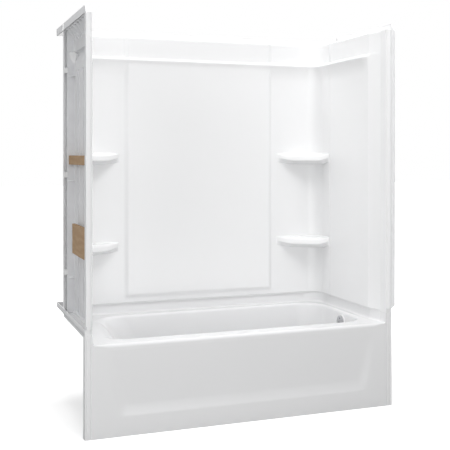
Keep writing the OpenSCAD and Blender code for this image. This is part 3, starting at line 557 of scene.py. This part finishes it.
# One closed outline of the basin, drawn in by an inset, with the backrest leaning in further.
def basinRing(sizes, inset, z):
    fall = (room["deckZ"] - z) / (room["deckZ"] - sizes["floorZ"])
    slope = sizes["lean"] - sizes["leanTop"] - sizes["leanRoll"]
    roll = min(max(fall / sizes["rollShare"], 0.0), 1.0)
    lean = sizes["leanTop"] + slope * fall + sizes["leanRoll"] * math.sqrt(roll * (2 - roll))
    right = room["endX"] - sizes["rimRight"] - inset
    front = room["apronY"] + sizes["rimFront"] + inset
    rear = room["panelY"] - sizes["rimBack"] - inset
    left = -room["endX"] + sizes["rimLeft"] + lean + inset
    corners = plane((right, rear), (left + sizes["rimLeftSkew"], rear - sizes["rimBackSkew"]),
                    (left, front), (right, front))
    radii = [max(sizes[key] - inset, sizes["cornerLeast"])
             for key in ("corner", "corner", "cornerFrontLeft", "corner")]
    start = corners[3].lerp(corners[0], 0.5)
    line = rounded([start] + corners + [start], radii, sizes["cornerSteps"])
    each = sizes["cornerSteps"] + 1
    arcs = [line[1 + each * index: 1 + each * (index + 1)] for index in range(4)]
    ring = []
    for index, arc in enumerate(arcs):
        target = arcs[(index + 1) % 4][0]
        ring += arc
        ring += [arc[-1].lerp(target, step / sizes["sideSteps"]) for step in range(1, sizes["sideSteps"])]
    return [Vector((point.x, point.y, z)) for point in ring]


# The basin's wall as (inset, height), from the flat deck over the edge and down to the flat floor
def basinProfile(sizes):
    deck, floor = room["deckZ"], sizes["floorZ"]
    steps, wallSteps = sizes["roundSteps"], sizes["wallSteps"]
    line = plane((-sizes["beforeEdge"], deck), (sizes["draftTop"], deck), (sizes["draftFoot"], floor),
                 (sizes["beyondFoot"], floor))
    line = rounded(line, [sizes["edgeRadius"], sizes["footRadius"]], steps)[1:-1]
    edge, foot = line[:steps + 1], line[steps + 1:]
    wall = [edge[-1].lerp(foot[0], (step / wallSteps) ** sizes["wallSpread"])
            for step in range(1, wallSteps)]
    return edge + wall + foot


# Plan of the room's inner face, from the front right column round the back to the front left one
def roomPlan(startY):
    half = plane(
        (room["columnX"], startY), (room["columnX"], room["apronY"] + room["columnDeep"]),
        (room["panelX"], room["slopeY"]), (room["panelX"], room["panelY"]), (0, room["panelY"]))
    radii = [room["columnRound"], room["columnRound"], room["wrapRadius"]]
    right = tidyLine(rounded(half, radii, steps=14))
    return right[:-1] + [mirrored(point) for point in reversed(right[:-1])]


# The cove between the deck and the ledge, as (distance from the plan, height)
def coveSection(sizes, back=0.0):
    draft, ledge = sizes["coveDraft"], room["ledgeZ"]
    radius = sizes["coveWide"] - draft
    low = room["deckZ"] + radius
    made = [(radius * (1 - sine) + draft - back, low - radius * cosine)
            for sine, cosine in quarter(sizes["coveSteps"], first=0)]
    made += [(draft * (1 - share) - back, low + (ledge - low) * share) for share in sizes["coveShares"]]
    return made


# 0 at the front columns and 1 behind them, where the panels stand over the ledge
def behindColumns(y):
    return easeStep((y - room["apronY"] - room["ledgeFrom"]) / room["ledgeOver"])


# The shallow recess in the apron: it fades out upwards and has a bevel at its foot and sides.
def recessDepth(sizes, x, z):
    lowZ, highZ, bevel, soft = (
        sizes[key] for key in ("recessLow", "recessTop", "recessBevel", "recessSoft"))
    slope = sizes["recessDeep"] / bevel
    narrow, wide = sizes["recessHalfLow"], sizes["recessHalfHigh"]
    half = narrow + (z - lowZ) * ((wide - narrow) / (highZ - lowZ))
    low = (z - lowZ) * slope
    side = (half - abs(x)) * slope
    main = sizes["recessDeep"] * (highZ - z) / (highZ - lowZ - bevel)
    depth = smoothMin(smoothMin(low, main, soft), side, soft)
    return max(smoothMax(depth, 0.0, sizes["recessEase"]) - sizes["recessLeast"], 0.0)


# Shallow grooves down the flat strip at each end of the bath front
def stripGroove(sizes, x):
    depth = sum(math.exp(-((abs(x) - place) / wide) ** 2) for place, wide in sizes["grooves"])
    return max(sizes["grooveDeep"] * depth - sizes["grooveLeast"], 0.0)


# Height of the bath front: the deck, then the end of the cove, then the ledge
def frontTop(cove, reach):
    if reach > room["columnX"]:
        return room["ledgeZ"]
    top = room["deckZ"]
    for (wide, z), (nextWide, nextZ) in zip(cove, cove[1:]):
        near, far = room["columnX"] - wide, room["columnX"] - nextWide
        if near <= reach <= far + 1e-6:
            top = z + (nextZ - z) * (reach - near) / max(far - near, 1e-6)
    return top


# The apron and the front edge of the deck. It gives back the vertices of its top line.
def addBathFront(bm, sizes):
    cove = coveSection(sizes)
    flat = room["columnX"] - sizes["coveWide"]
    half = [flat * step / sizes["deckSteps"] for step in range(sizes["deckSteps"])]
    half += [room["columnX"] - wide for wide, _ in cove]
    half += [*sizes["stripX"], room["endX"]]
    columns = [-x for x in reversed(half[1:])] + half
    heights, springSteps, noseSteps = sizes["frontZ"], sizes["springSteps"], sizes["noseSteps"]
    rows = [[] for _ in range(len(heights) + springSteps + noseSteps)]
    for x in columns:
        narrowing = easeStep((abs(x) - flat + sizes["noseEase"]) / sizes["noseEase"])
        nose = sizes["noseRadius"] + (sizes["endNose"] - sizes["noseRadius"]) * narrowing
        spring = frontTop(cove, abs(x)) - nose
        column = [(room["apronY"] + recessDepth(sizes, x, z), z) for z in heights]
        for step in range(1, springSteps + 1):
            column.append((room["apronY"], heights[-1] + (spring - heights[-1]) * step / springSteps))
        for sine, cosine in quarter(noseSteps):
            column.append((room["apronY"] + nose * (1 - cosine), spring + nose * sine))
        for row, (y, z) in zip(rows, column):
            row.append(Vector((x, y + stripGroove(sizes, x), z)))
    return gridFaces(bm, list(reversed(rows)))[0][0]


# The basin, closed in to the drain, with a hole for the overflow. It gives back the vertices of its rim.
def addBasin(bm, sizes):
    rings = [basinRing(sizes, inset, z) for inset, z in basinProfile(sizes)]
    drain = Vector((sizes["drainX"], sizes["wasteY"], sizes["floorZ"]))
    last = rings[-1]
    outward = [(point - drain).normalized() * sizes["drainRadius"] for point in last]
    flat = [drain + way * sizes["drainFlat"] for way in outward]
    for share in sizes["floorShares"]:
        rings.append([point.lerp(target, share) for point, target in zip(last, flat)])
    rings += [flat, [drain + way for way in outward]]
    made, faces = gridFaces(bm, rings, ring=True)
    hole = Vector((sizes["padX"], sizes["wasteY"], sizes["overflowZ"]))
    reach = sizes["holeRadius"] + sizes["holeMargin"]
    cut = []
    for face in faces:
        spot = face.calc_center_median()
        if spot.x > sizes["overflowWall"] and (spot - hole).yz.length < reach:
            cut.append(face)
    bmesh.ops.delete(bm, geom=cut, context="FACES_ONLY")
    return made[0]


def buildBath(sizes):
    bm = bmesh.new()
    rim = addBasin(bm, sizes)
    top = addBathFront(bm, sizes)
    plan = roomPlan(room["apronY"] + sizes["endNose"])
    rows = []
    for point, side in zip(plan, sideways(plan)):
        section = coveSection(sizes, sizes["coveBack"] * behindColumns(point.y))
        rows.append([Vector((point.x + side.x * wide, point.y + side.y * wide, z)) for wide, z in section])
    cove, _ = gridFaces(bm, rows)
    flat = room["columnX"] - sizes["coveWide"]
    outer = [vertex for vertex in top if abs(vertex.co.x) <= flat + hair]
    outer += [row[0] for row in cove[1:-1]]
    loops = [[vertex.co.copy() for vertex in line] for line in (outer, rim)]
    for corners in geometry.tessellate_polygon(loops):
        bm.faces.new([(outer + rim)[index] for index in corners])
    bmesh.ops.remove_doubles(bm, verts=bm.verts, dist=0.02)
    faces = list(bm.faces)
    faceTowards(bm, faces, Vector((0, 0, 1)))
    thicken(bm, faces, sizes["thickness"])
    return bm


# The ledge, the upstand round it, and the returns behind the apron
def buildBathTrim(sizes):
    bm = bmesh.new()
    end, back, apron, seam = room["endX"], room["backY"], room["apronY"], room["seamY"]
    thick = sizes["thickness"]
    ledge, flange = room["ledgeZ"], room["flangeZ"]
    front = apron + sizes["endNose"]
    sideLow, rearLow = ledge - sizes["flangeDrop"], ledge - sizes["rearDrop"]
    plan = roomPlan(front)
    outline = [tuple(point - side * sizes["coveBack"] * behindColumns(point.y))
               for point, side in zip(plan, sideways(plan))]
    outline += [(-end, front), (-end, back), (end, back), (end, front)]
    plate(bm, "z", outline, ledge - thick, ledge)
    for side in (-1, 1):
        low, high = sorted((side * end, side * (end - thick)))
        near, far = sorted((side * end, side * (end - sizes["stripWide"])))
        block(bm, (low, apron + sizes["flangeIn"], sideLow), (high, seam - thick, flange))
        block(bm, (low, seam - 2 * thick, rearLow), (high, back, flange))
        block(bm, (low, apron + sizes["returnIn"], 0), (high, apron + sizes["return"], sideLow))
        block(bm, (near, apron + sizes["stripIn"], ledge - sizes["stripDrop"]), (far, apron + thick, flange))
    block(bm, (-end, back - thick, rearLow), (end, back, flange))
    block(bm, (-end, apron + sizes["returnIn"], 0), (end, apron + sizes["return"], thick))
    rawShadedOutside(bm)
    return bm


def buildOverflowSeat(sizes):
    bm = bmesh.new()
    pad, hole, deep, bevel = (sizes[key] for key in ("padRadius", "holeRadius", "padDeep", "padBevel"))
    turned(bm, Vector((sizes["padX"], sizes["wasteY"], sizes["overflowZ"])),
           [(pad, deep), (pad, bevel), (pad - bevel, 0), (hole, 0), (hole, deep)])
    return bm


makePiece("bathShell", buildBath(bathSizes), [bathGloss, shellBack], ["bath"], angle=32, fixNormals=False)
makePiece("bathFlanges", buildBathTrim(bathSizes), [bathGloss, shellBack], ["bath"], edgeRound=1.2)
makePiece("overflowSeat", buildOverflowSeat(bathSizes), [bathGloss], ["bath"])


# Wall panels
wallSizes = {
    "thickness": 4,
    "skirt": ((-8, 0.3), (-8, 3), (-7, 4), (-4, 4.8), (-1.2, 6), (-0.2, 8), (0, 11)),  # (way in, height)
    "lowRows": range(20, 65, 5), "faceRows": range(540, 1640, 79),
    "lipZ": 1731, "lipHigh": 16, "lipOut": 19, "coveHigh": 84, "coveCurve": 2.2, "coveSteps": 12,
    "beadSteps": 10, "beadOut": 0.6, "beadUp": 1.5, "taper": 60, "lipStart": {-1: 72, 1: -18},
    "bandBack": 4, "bandRows": (1.2, 30, 65, 96.5), "bandTop": 1849, "topIn": 7, "topUp": 6.9, "topSteps": 6,
    "panelHalf": 396, "panelSlope": 24, "panelRaise": 11, "panelFoot": 50, "panelEase": 0.3, "panelMeet": 2.0,
    "acrossX": (600, 560, 520, 480, 445, 425, 421, 418, 415, 412, 408, 404, 400, 396, 392, 385,
                340, 280, 200, 100, 0),
    "channelWide": 12, "channelDeep": 18, "channelRound": 1.5, "channelLap": 2,
    "seamGap": 0.2, "seamRound": 3, "seamFade": 5,
    "backFadeFrom": 4.9, "endFadeFrom": 5.5,  # beyond the panel's face, and before the seam
    "strip": ((758, 2.5), (755.5, 2.5), (753.5, 0), (739, 0), (737.5, 1.6), (735.5, 1.6), (734, 0)),
    "stripRounds": [1, 1, 1, 0.8, 0.8, 1], "columnEdge": 5.5, "longSide": 60, "longSteps": 24,
    "returnX": 733, "returnDeep": 6,
    "plateIn": 11, "plateGap": 1, "plateFront": 0.5, "plateBevel": 4, "plateBend": 2, "flangeCut": 40,
    "backFlangeFrom": 23,
    "clipZ": (655, 1135, 1650), "gusset": 40, "gussetIn": 18, "gussetLow": 26, "gussetHigh": 22,
    "braces": 7, "bracePitch": 70, "braceHigh": 66, "braceThick": 4, "braceIn": (5, 6), "braceOut": 6,
    "sunk": 2, "ribHigh": 6, "ribThick": 5, "endRibs": (40, 170, 300),  # behind the slope
    "backRibs": (150, 300), "backRibLow": 50, "backRibShort": 20,
}


# Rows up the panel: (how far it stands into the room, height)
def wallRows(sizes):
    ledge, lip, band = room["ledgeZ"], sizes["lipZ"], -sizes["bandBack"]
    rows = [(depth, ledge + up) for depth, up in sizes["skirt"]]
    rows += [(0, ledge + up) for up in sizes["lowRows"]]
    rows += [(0, z) for z in sizes["faceRows"]]
    for step in range(sizes["coveSteps"] + 1):
        share = step / sizes["coveSteps"]
        rows.append((sizes["lipOut"] * share ** sizes["coveCurve"], lip - sizes["coveHigh"] * (1 - share)))
    reach = sizes["lipOut"] + sizes["bandBack"]
    for sine, cosine in quarter(sizes["beadSteps"]):
        rows.append((band + reach * cosine + sizes["beadOut"],
                     lip + sizes["beadUp"] + sizes["lipHigh"] * sine))
    top = lip + sizes["lipHigh"] + sizes["beadUp"]
    rows += [(band, top + up) for up in sizes["bandRows"]]
    for sine, cosine in quarter(sizes["topSteps"]):
        rows.append((band - sizes["topIn"] * (1 - cosine), sizes["bandTop"] + sizes["topUp"] * sine))
    return rows


# The raised middle of the back panel
def raisedBy(sizes, x, z):
    slope = sizes["panelSlope"]
    across = (sizes["panelHalf"] + slope - abs(x)) / slope
    up = (z - room["ledgeZ"] - sizes["panelFoot"] + slope) / slope
    return sizes["panelRaise"] * easeStep(smoothMin(across, up, sizes["panelEase"]))


# A sheet over stations along the wall: each is a place, its way into the room, and its share of lip and foot.
def addSheet(bm, sizes, stations, raised):
    grid = []
    for depth, z in wallRows(sizes):
        row = []
        for place, push, lipShare, footShare in stations:
            base = depth * (lipShare if depth > 0 else footShare)
            lift = raisedBy(sizes, place.x, z) if raised else 0.0
            if lift > hair:
                base = smoothMax(base, lift + min(base, 0.0), sizes["panelMeet"])
            row.append(Vector((place.x + push.x * base, place.y + push.y * base, z)))
        grid.append(row)
    return gridFaces(bm, grid)[1]


# Stations from the channel that hides the right seam, round the corner, across the back and down again
def backStations(sizes):
    seam, edge, panel, panelY = room["seamY"], room["edgeX"], room["panelX"], room["panelY"]
    inner, deep, lap = edge - sizes["channelWide"], seam + sizes["channelDeep"], sizes["channelLap"]
    fade = panel + sizes["seamFade"]
    half = plane((edge, seam + lap), (edge, deep), (inner, deep), (inner, seam), (panel, seam),
                 (panel, panelY), (0, panelY))
    radii = [sizes["channelRound"]] * 3 + [sizes["seamRound"], room["wrapRadius"]]
    line = tidyLine(rounded(half, radii, steps=12))[:-1]
    stations = []
    for point, side in zip(line, sideways(line + [half[-1]])):
        if point.x > panel + sizes["backFadeFrom"]:
            reach = min((point.x - fade) / (inner - lap - fade), 1.0)
            stations.append((point, Vector((-1, 0)), 1 - reach, 1 - reach))
        else:
            stations.append((point, side, 1.0, 1.0))
    for x in sizes["acrossX"]:
        stations.append((Vector((x, panelY)), Vector((0, -1)), 1.0, 1.0))
    left = [(mirrored(place), mirrored(push), *shares) for place, push, *shares in reversed(stations[:-1])]
    return stations + left


# Stations from the front strip, over the column and its slope, along the panel to the seam
def endStations(sizes, side):
    front, seam = room["apronY"], room["seamY"] - sizes["seamGap"]
    column, panel, slope = room["columnX"], room["panelX"], room["slopeY"]
    edge, fade, steps = room["edgeX"] - sizes["channelWide"], panel + sizes["seamFade"], sizes["longSteps"]
    corners = plane(*[(x, front + deep) for x, deep in sizes["strip"]], (column, front),
                    (column, front + room["columnDeep"]), (panel, slope), (panel, seam), (edge, seam))
    radii = sizes["stripRounds"] + [sizes["columnEdge"]] + [room["columnRound"]] * 2 + [sizes["seamRound"]]
    line = tidyLine(rounded(corners, radii, steps=6))
    dense = []
    for a, b in zip(line, line[1:]):
        dense.append(a)
        if (b - a).length > sizes["longSide"]:
            dense += [a.lerp(b, step / steps) for step in range(1, steps)]
    dense.append(line[-1])
    stations = []
    for point, normal in zip(dense, sideways(dense)):
        if point.y > seam - sizes["endFadeFrom"]:
            reach = max(0.0, (point.x - fade) / (edge - fade))
            stations.append((point, Vector((-1, 0)), 1 - reach, 1 - reach))
        else:
            lipShare = easeStep((point.y - slope - sizes["lipStart"][side]) / sizes["taper"])
            stations.append((point, normal, lipShare, behindColumns(point.y)))
    return stations


# The right end wall, mirrored for the left one
def buildEndWall(sizes, side):
    bm = bmesh.new()
    end, column, panel, thick = room["endX"], room["columnX"], room["panelX"], sizes["thickness"]
    front, slope, seam = room["apronY"], room["slopeY"], room["seamY"] - sizes["seamGap"]
    flange, plateZ, top = room["flangeZ"], room["topPlateZ"], room["topZ"]
    faces = addSheet(bm, sizes, endStations(sizes, side), False)
    # the front return ends above the end strip of the bath
    doomed = set()
    for face in faces:
        spot = face.calc_center_median()
        if spot.x > sizes["returnX"] and spot.y < front + sizes["returnDeep"] and spot.z < flange:
            doomed.add(face)
    faces = [face for face in faces if face not in doomed]
    bmesh.ops.delete(bm, geom=list(doomed), context="FACES")
    faceTowards(bm, faces, Vector((-1, 0, 0)))
    thicken(bm, faces, thick)
    inset, bevel, outer = sizes["plateIn"], sizes["plateBevel"], end - sizes["plateGap"]
    plateFront, plateLow, sunk = front + sizes["plateFront"], plateZ - thick, sizes["sunk"]
    edge = [(outer, plateFront), (column + bevel, plateFront), (column + inset, front + bevel),
            (column + inset, front + room["columnDeep"] + sizes["plateBend"]), (panel + inset, slope + bevel),
            (panel + inset, seam), (outer, seam)]
    plate(bm, "z", edge, plateLow, plateZ)
    plate(bm, "x", [(front, plateLow), (seam, plateLow), (seam, top), (front, top)], end - thick, end)
    cut = sizes["flangeCut"]
    flangeOutline = [(front + thick, flange), (front, flange), (room["frontY"], flange + cut / 2),
                     (room["frontY"], top - cut), (front, top), (front + thick, top)]
    plate(bm, "x", flangeOutline, end - thick + hair, end - hair)
    gusset = [(panel + sunk, seam - sunk), (panel + sunk, seam - sizes["gusset"]),
              (room["edgeX"] - sizes["gussetIn"], seam - sunk)]
    for z in sizes["clipZ"]:
        plate(bm, "z", gusset, z - sizes["gussetLow"], z - sizes["gussetHigh"], 1)
    under = plateLow - sizes["plateGap"]
    for index in range(sizes["braces"]):
        y = front + sizes["bracePitch"] * (index + 1)
        low = column + sizes["braceIn"][0] if y < slope else panel + sizes["braceIn"][1]
        brace = [(low, plateZ - sizes["braceHigh"]), (end - sizes["braceOut"], under), (low, under)]
        plate(bm, "y", brace, y, y + sizes["braceThick"], 1)
    ribTop = sizes["lipZ"] - sizes["coveHigh"]
    for place in sizes["endRibs"]:
        block(bm, (panel + sunk, slope + place, flange),
              (panel + thick + sizes["ribHigh"], slope + place + sizes["ribThick"], ribTop), 1)
    rawShadedOutside(bm)
    if side < 0:
        bmesh.ops.scale(bm, vec=(-1, 1, 1), verts=bm.verts)
        bmesh.ops.reverse_faces(bm, faces=bm.faces)
    return bm


def buildBackWall(sizes):
    bm = bmesh.new()
    thick, end, back, seam = sizes["thickness"], room["endX"], room["backY"], room["seamY"]
    plateLow, plateZ, top = room["topPlateZ"] - thick, room["topPlateZ"], room["topZ"]
    faces = addSheet(bm, sizes, backStations(sizes), True)
    faceTowards(bm, faces, Vector((0, -1, 0)))
    thicken(bm, faces, thick)
    innerX, innerY = room["panelX"] + sizes["plateIn"], room["panelY"] + sizes["plateIn"]
    corner = plane((innerX, seam), (innerX, innerY), (0, innerY))
    line = rounded(corner, [room["wrapRadius"] + sizes["plateIn"]], steps=16)
    inner = [(point.x, point.y) for point in line[:-1]]
    outer, rear = end - sizes["plateGap"], back - sizes["plateGap"]
    outline = [(outer, seam)] + inner + [(-x, y) for x, y in reversed(inner)]
    outline += [(-outer, seam), (-outer, rear), (outer, rear)]
    plate(bm, "z", outline, plateLow, plateZ)
    plate(bm, "y", [(-end, plateLow), (end, plateLow), (end, top), (-end, top)], back - thick, back)
    ribTop = sizes["lipZ"] - sizes["coveHigh"] - sizes["backRibShort"]
    ribLow, ribHalf = room["flangeZ"] + sizes["backRibLow"], sizes["ribThick"] / 2
    ribNear, ribFar = room["panelY"] - thick, room["panelY"] + sizes["sunk"] + sizes["ribHigh"]
    for side in (-1, 1):
        low, high = sorted((side * end, side * (end - thick)))
        block(bm, (low, seam + sizes["backFlangeFrom"], plateLow), (high, back, top))
        for x in sizes["backRibs"]:
            block(bm, (side * x - ribHalf, ribNear, ribLow), (side * x + ribHalf, ribFar, ribTop), 1)
    rawShadedOutside(bm)
    return bm


makePiece("backPanel", buildBackWall(wallSizes), [wallGloss, shellBack], ["back_wall"], angle=32)
for sideName, side in sides.items():
    makePiece(sideName + "EndPanel", buildEndWall(wallSizes, side), [wallGloss, shellBack],
              [sideName + "_end_wall"], angle=32)


# Corner shelves
shelfSizes = {
    "tops": {"Upper": 1243, "Lower": 779}, "steps": 56, "tipX": 450, "tipBack": 0.5,
    "bends": ((464, 321), (567, 248)), "bendRadii": [24, 600], "seamIn": 2,  # front edge, from above
    "high": 56, "tipHigh": 0.78, "tipReach": 60, "leastReach": 0.5, "full": 70,
    "lipLow": 0.45, "lipLower": 0.2,
    "underIn": 46, "underRadius": 24, "noseIn": 7, "noseRadius": 30,
    "wallRound": 12, "wallShare": 0.4, "wallFade": 1.5, "wallGap": 0.4, "sunk": 2,
}


# Where a shelf meets the wall, and its front edge
def shelfLines(sizes):
    tip, corner, rear = sizes["tipX"], room["panelX"], room["panelY"]
    stop = (corner, room["seamY"] + sizes["seamIn"])
    wall = rounded(plane((tip, rear), (corner, rear), stop), [room["wrapRadius"]], steps=24)
    nose = rounded(plane((tip, rear - sizes["tipBack"]), *sizes["bends"], stop), sizes["bendRadii"], steps=14)
    return evenly(wall, sizes["steps"]), evenly(nose, sizes["steps"])


def buildShelf(sizes, side, top):
    bm = bmesh.new()
    wall, nose = shelfLines(sizes)
    gap, sunk = sizes["wallGap"], -sizes["sunk"]
    rings = []
    for onWall, onNose in zip(wall, nose):
        across = onNose - onWall
        reach = max(across.length, sizes["leastReach"])
        toNose = across.normalized() if across.length > hair else Vector((-0.7, -0.7))
        share = min(1.0, reach / sizes["full"])
        wallRound = min(sizes["wallRound"], reach * sizes["wallShare"])
        thinning = sizes["tipHigh"] + (1 - sizes["tipHigh"]) * easeStep(reach / sizes["tipReach"])
        under, high, noseIn = sizes["underIn"] * share, sizes["high"] * thinning, sizes["noseIn"] * share
        lip = top - high * (sizes["lipLow"] + sizes["lipLower"] * share)
        foot, fade = top - high, wallRound * sizes["wallFade"]
        profile = plane((sunk, top + fade), (gap, top), (reach - noseIn, top), (reach, lip),
                        (reach - under, foot), (gap, foot), (sunk, foot - fade))
        radii = [wallRound, sizes["noseRadius"] * share, noseIn, sizes["underRadius"] * share, wallRound]
        rings.append([Vector((side * (onWall.x + toNose.x * out), onWall.y + toNose.y * out, z))
                      for out, z in rounded(profile, radii, steps=8)])
    made, _ = gridFaces(bm, rings, ring=True)
    bm.faces.new(made[0])
    bm.faces.new(list(reversed(made[-1])))
    return bm


for sideName, side in sides.items():
    for levelName, top in shelfSizes["tops"].items():
        shelf = buildShelf(shelfSizes, side, top)
        makePiece(sideName + levelName + "Shelf", shelf, [wallGloss], ["back_wall"], angle=50)


# Backer boards: (low, high) and the rear end of those on the end walls
boardSizes = {
    "thick": 15, "edgeRound": 0.8, "seatX": 721, "frontY": -250, "backHalf": 560, "backY": 352,
    "wide": (763, 905), "narrow": (1190, 1234), "wideRear": 87.88, "narrowRear": 179.88,
}


def buildBoard(low, high):
    bm = bmesh.new()
    block(bm, low, high)
    return bm


for sideName, side in sides.items():
    for kind, node in (("wide", "_grab_board"), ("narrow", "_narrow_board")):
        span = (boardSizes["seatX"], boardSizes["seatX"] + boardSizes["thick"])
        nearX, farX = sorted(side * x for x in span)
        low, high = boardSizes[kind]
        board = buildBoard((nearX, boardSizes["frontY"], low), (farX, boardSizes[kind + "Rear"], high))
        makePiece(sideName + kind.capitalize() + "Board", board, [boardSide], [sideName + node],
                  edgeRound=boardSizes["edgeRound"])
low, high = boardSizes["wide"]
board = buildBoard((-boardSizes["backHalf"], boardSizes["backY"], low),
                   (boardSizes["backHalf"], boardSizes["backY"] + boardSizes["thick"], high))
makePiece("backBoard", board, [boardBack], ["back_grab_board"], edgeRound=boardSizes["edgeRound"])


# Floor and sky, in metres: near the object the floor shows its shadow, and further off it glows white.
stageSizes = {"floor": 30.0, "nearGlow": 0.35, "glowStart": 1.1, "glowEnd": 3.0, "sky": 0.24}
white, bounce = shade(1, 1, 1), shade(0.35, 0.35, 0.35)


def addFloor(sizes):
    mesh = bpy.data.meshes.new("floor")
    half = sizes["floor"]
    corners = [(-half, -half, 0), (half, -half, 0), (half, half, 0), (-half, half, 0)]
    mesh.from_pydata(corners, [], [(0, 1, 2, 3)])
    finish = Finish("floorWhite")
    seen = finish.seen()
    diffuse = finish.node("ShaderNodeBsdfDiffuse", None, {"Color": finish.blend(seen, bounce, white)})
    spot = finish.node("ShaderNodeTexCoord", out="Object")
    away = finish.node("ShaderNodeVectorMath", {"operation": "LENGTH"}, {0: spot}, out=1)
    rise = finish.node("ShaderNodeMapRange", {"interpolation_type": "SMOOTHSTEP"}, {
        "Value": away, "From Min": sizes["glowStart"], "From Max": sizes["glowEnd"],
        "To Min": sizes["nearGlow"], "To Max": 1.0})
    glow = finish.node("ShaderNodeEmission", None, {"Color": white, "Strength": seen * rise})
    both = finish.node("ShaderNodeAddShader", None, {0: diffuse, 1: glow})
    finish.node("ShaderNodeOutputMaterial", None, {"Surface": both})
    mesh.materials.append(finish.owner)
    addObject("floor", mesh)


# White to the camera and in reflections, and dimmer as light
def addSky(sizes):
    world = bpy.data.worlds.new("studio")
    bpy.context.scene.world = world
    graph = Graph(world)
    strength = graph.seen() * (1 - sizes["sky"]) + sizes["sky"]
    background = graph.node("ShaderNodeBackground", None, {"Color": white, "Strength": strength})
    graph.node("ShaderNodeOutputWorld", None, {"Surface": background})


# Lamps, in metres and watts
lamps = {
    "backLamp": {"place": (0.0, 0.6, 4.4), "target": (0.0, 0.0, 0.6), "size": (5.0, 2.5), "power": 121},
    "steepLamp": {"place": (0.0, -2.2, 4.6), "target": (0.0, 0.0, 0.8), "size": (2.5, 1.5), "power": 84},
    "lowLamp": {"place": (-0.5, -6.0, 1.2), "target": (0.0, 0.0, 0.5), "size": (4.0, 2.0), "power": 90},
    "leftLamp": {"place": (-4.5, -2.5, 2.6), "target": (0.0, 0.0, 1.0), "size": (3.0, 3.0), "power": 62},
}


def addLamp(name, sizes):
    light = bpy.data.lights.new(name, "AREA")
    light.shape = "RECTANGLE"
    light.size, light.size_y = sizes["size"]
    light.energy = sizes["power"]
    lamp = addObject(name, light)
    lamp.location = sizes["place"]
    towards = Vector(sizes["target"]) - Vector(sizes["place"])
    lamp.rotation_euler = towards.to_track_quat("-Z", "Y").to_euler()
    lamp.visible_glossy = False


# The photo's view: a level camera, turned to the right, with the horizon shifted
viewSizes = {
    "place": (-1.4584, -4.0069, 1.2336), "turn": -20.239, "lens": 67.70, "sensor": 36,
    "shift": -0.1542, "far": 100,
}


def addCamera(sizes):
    camera = bpy.data.cameras.new("photoCamera")
    camera.sensor_width = sizes["sensor"]
    camera.lens = sizes["lens"]
    camera.shift_y = sizes["shift"]
    camera.clip_end = sizes["far"]
    viewer = addObject("photoCamera", camera)
    viewer.location = sizes["place"]
    viewer.rotation_euler = (math.radians(90), 0, math.radians(sizes["turn"]))
    bpy.context.scene.camera = viewer


addFloor(stageSizes)
addSky(stageSizes)
for lampName, lampSizes in lamps.items():
    addLamp(lampName, lampSizes)
addCamera(viewSizes)
bpy.context.scene.view_settings.view_transform = "Standard"
print("stage set")
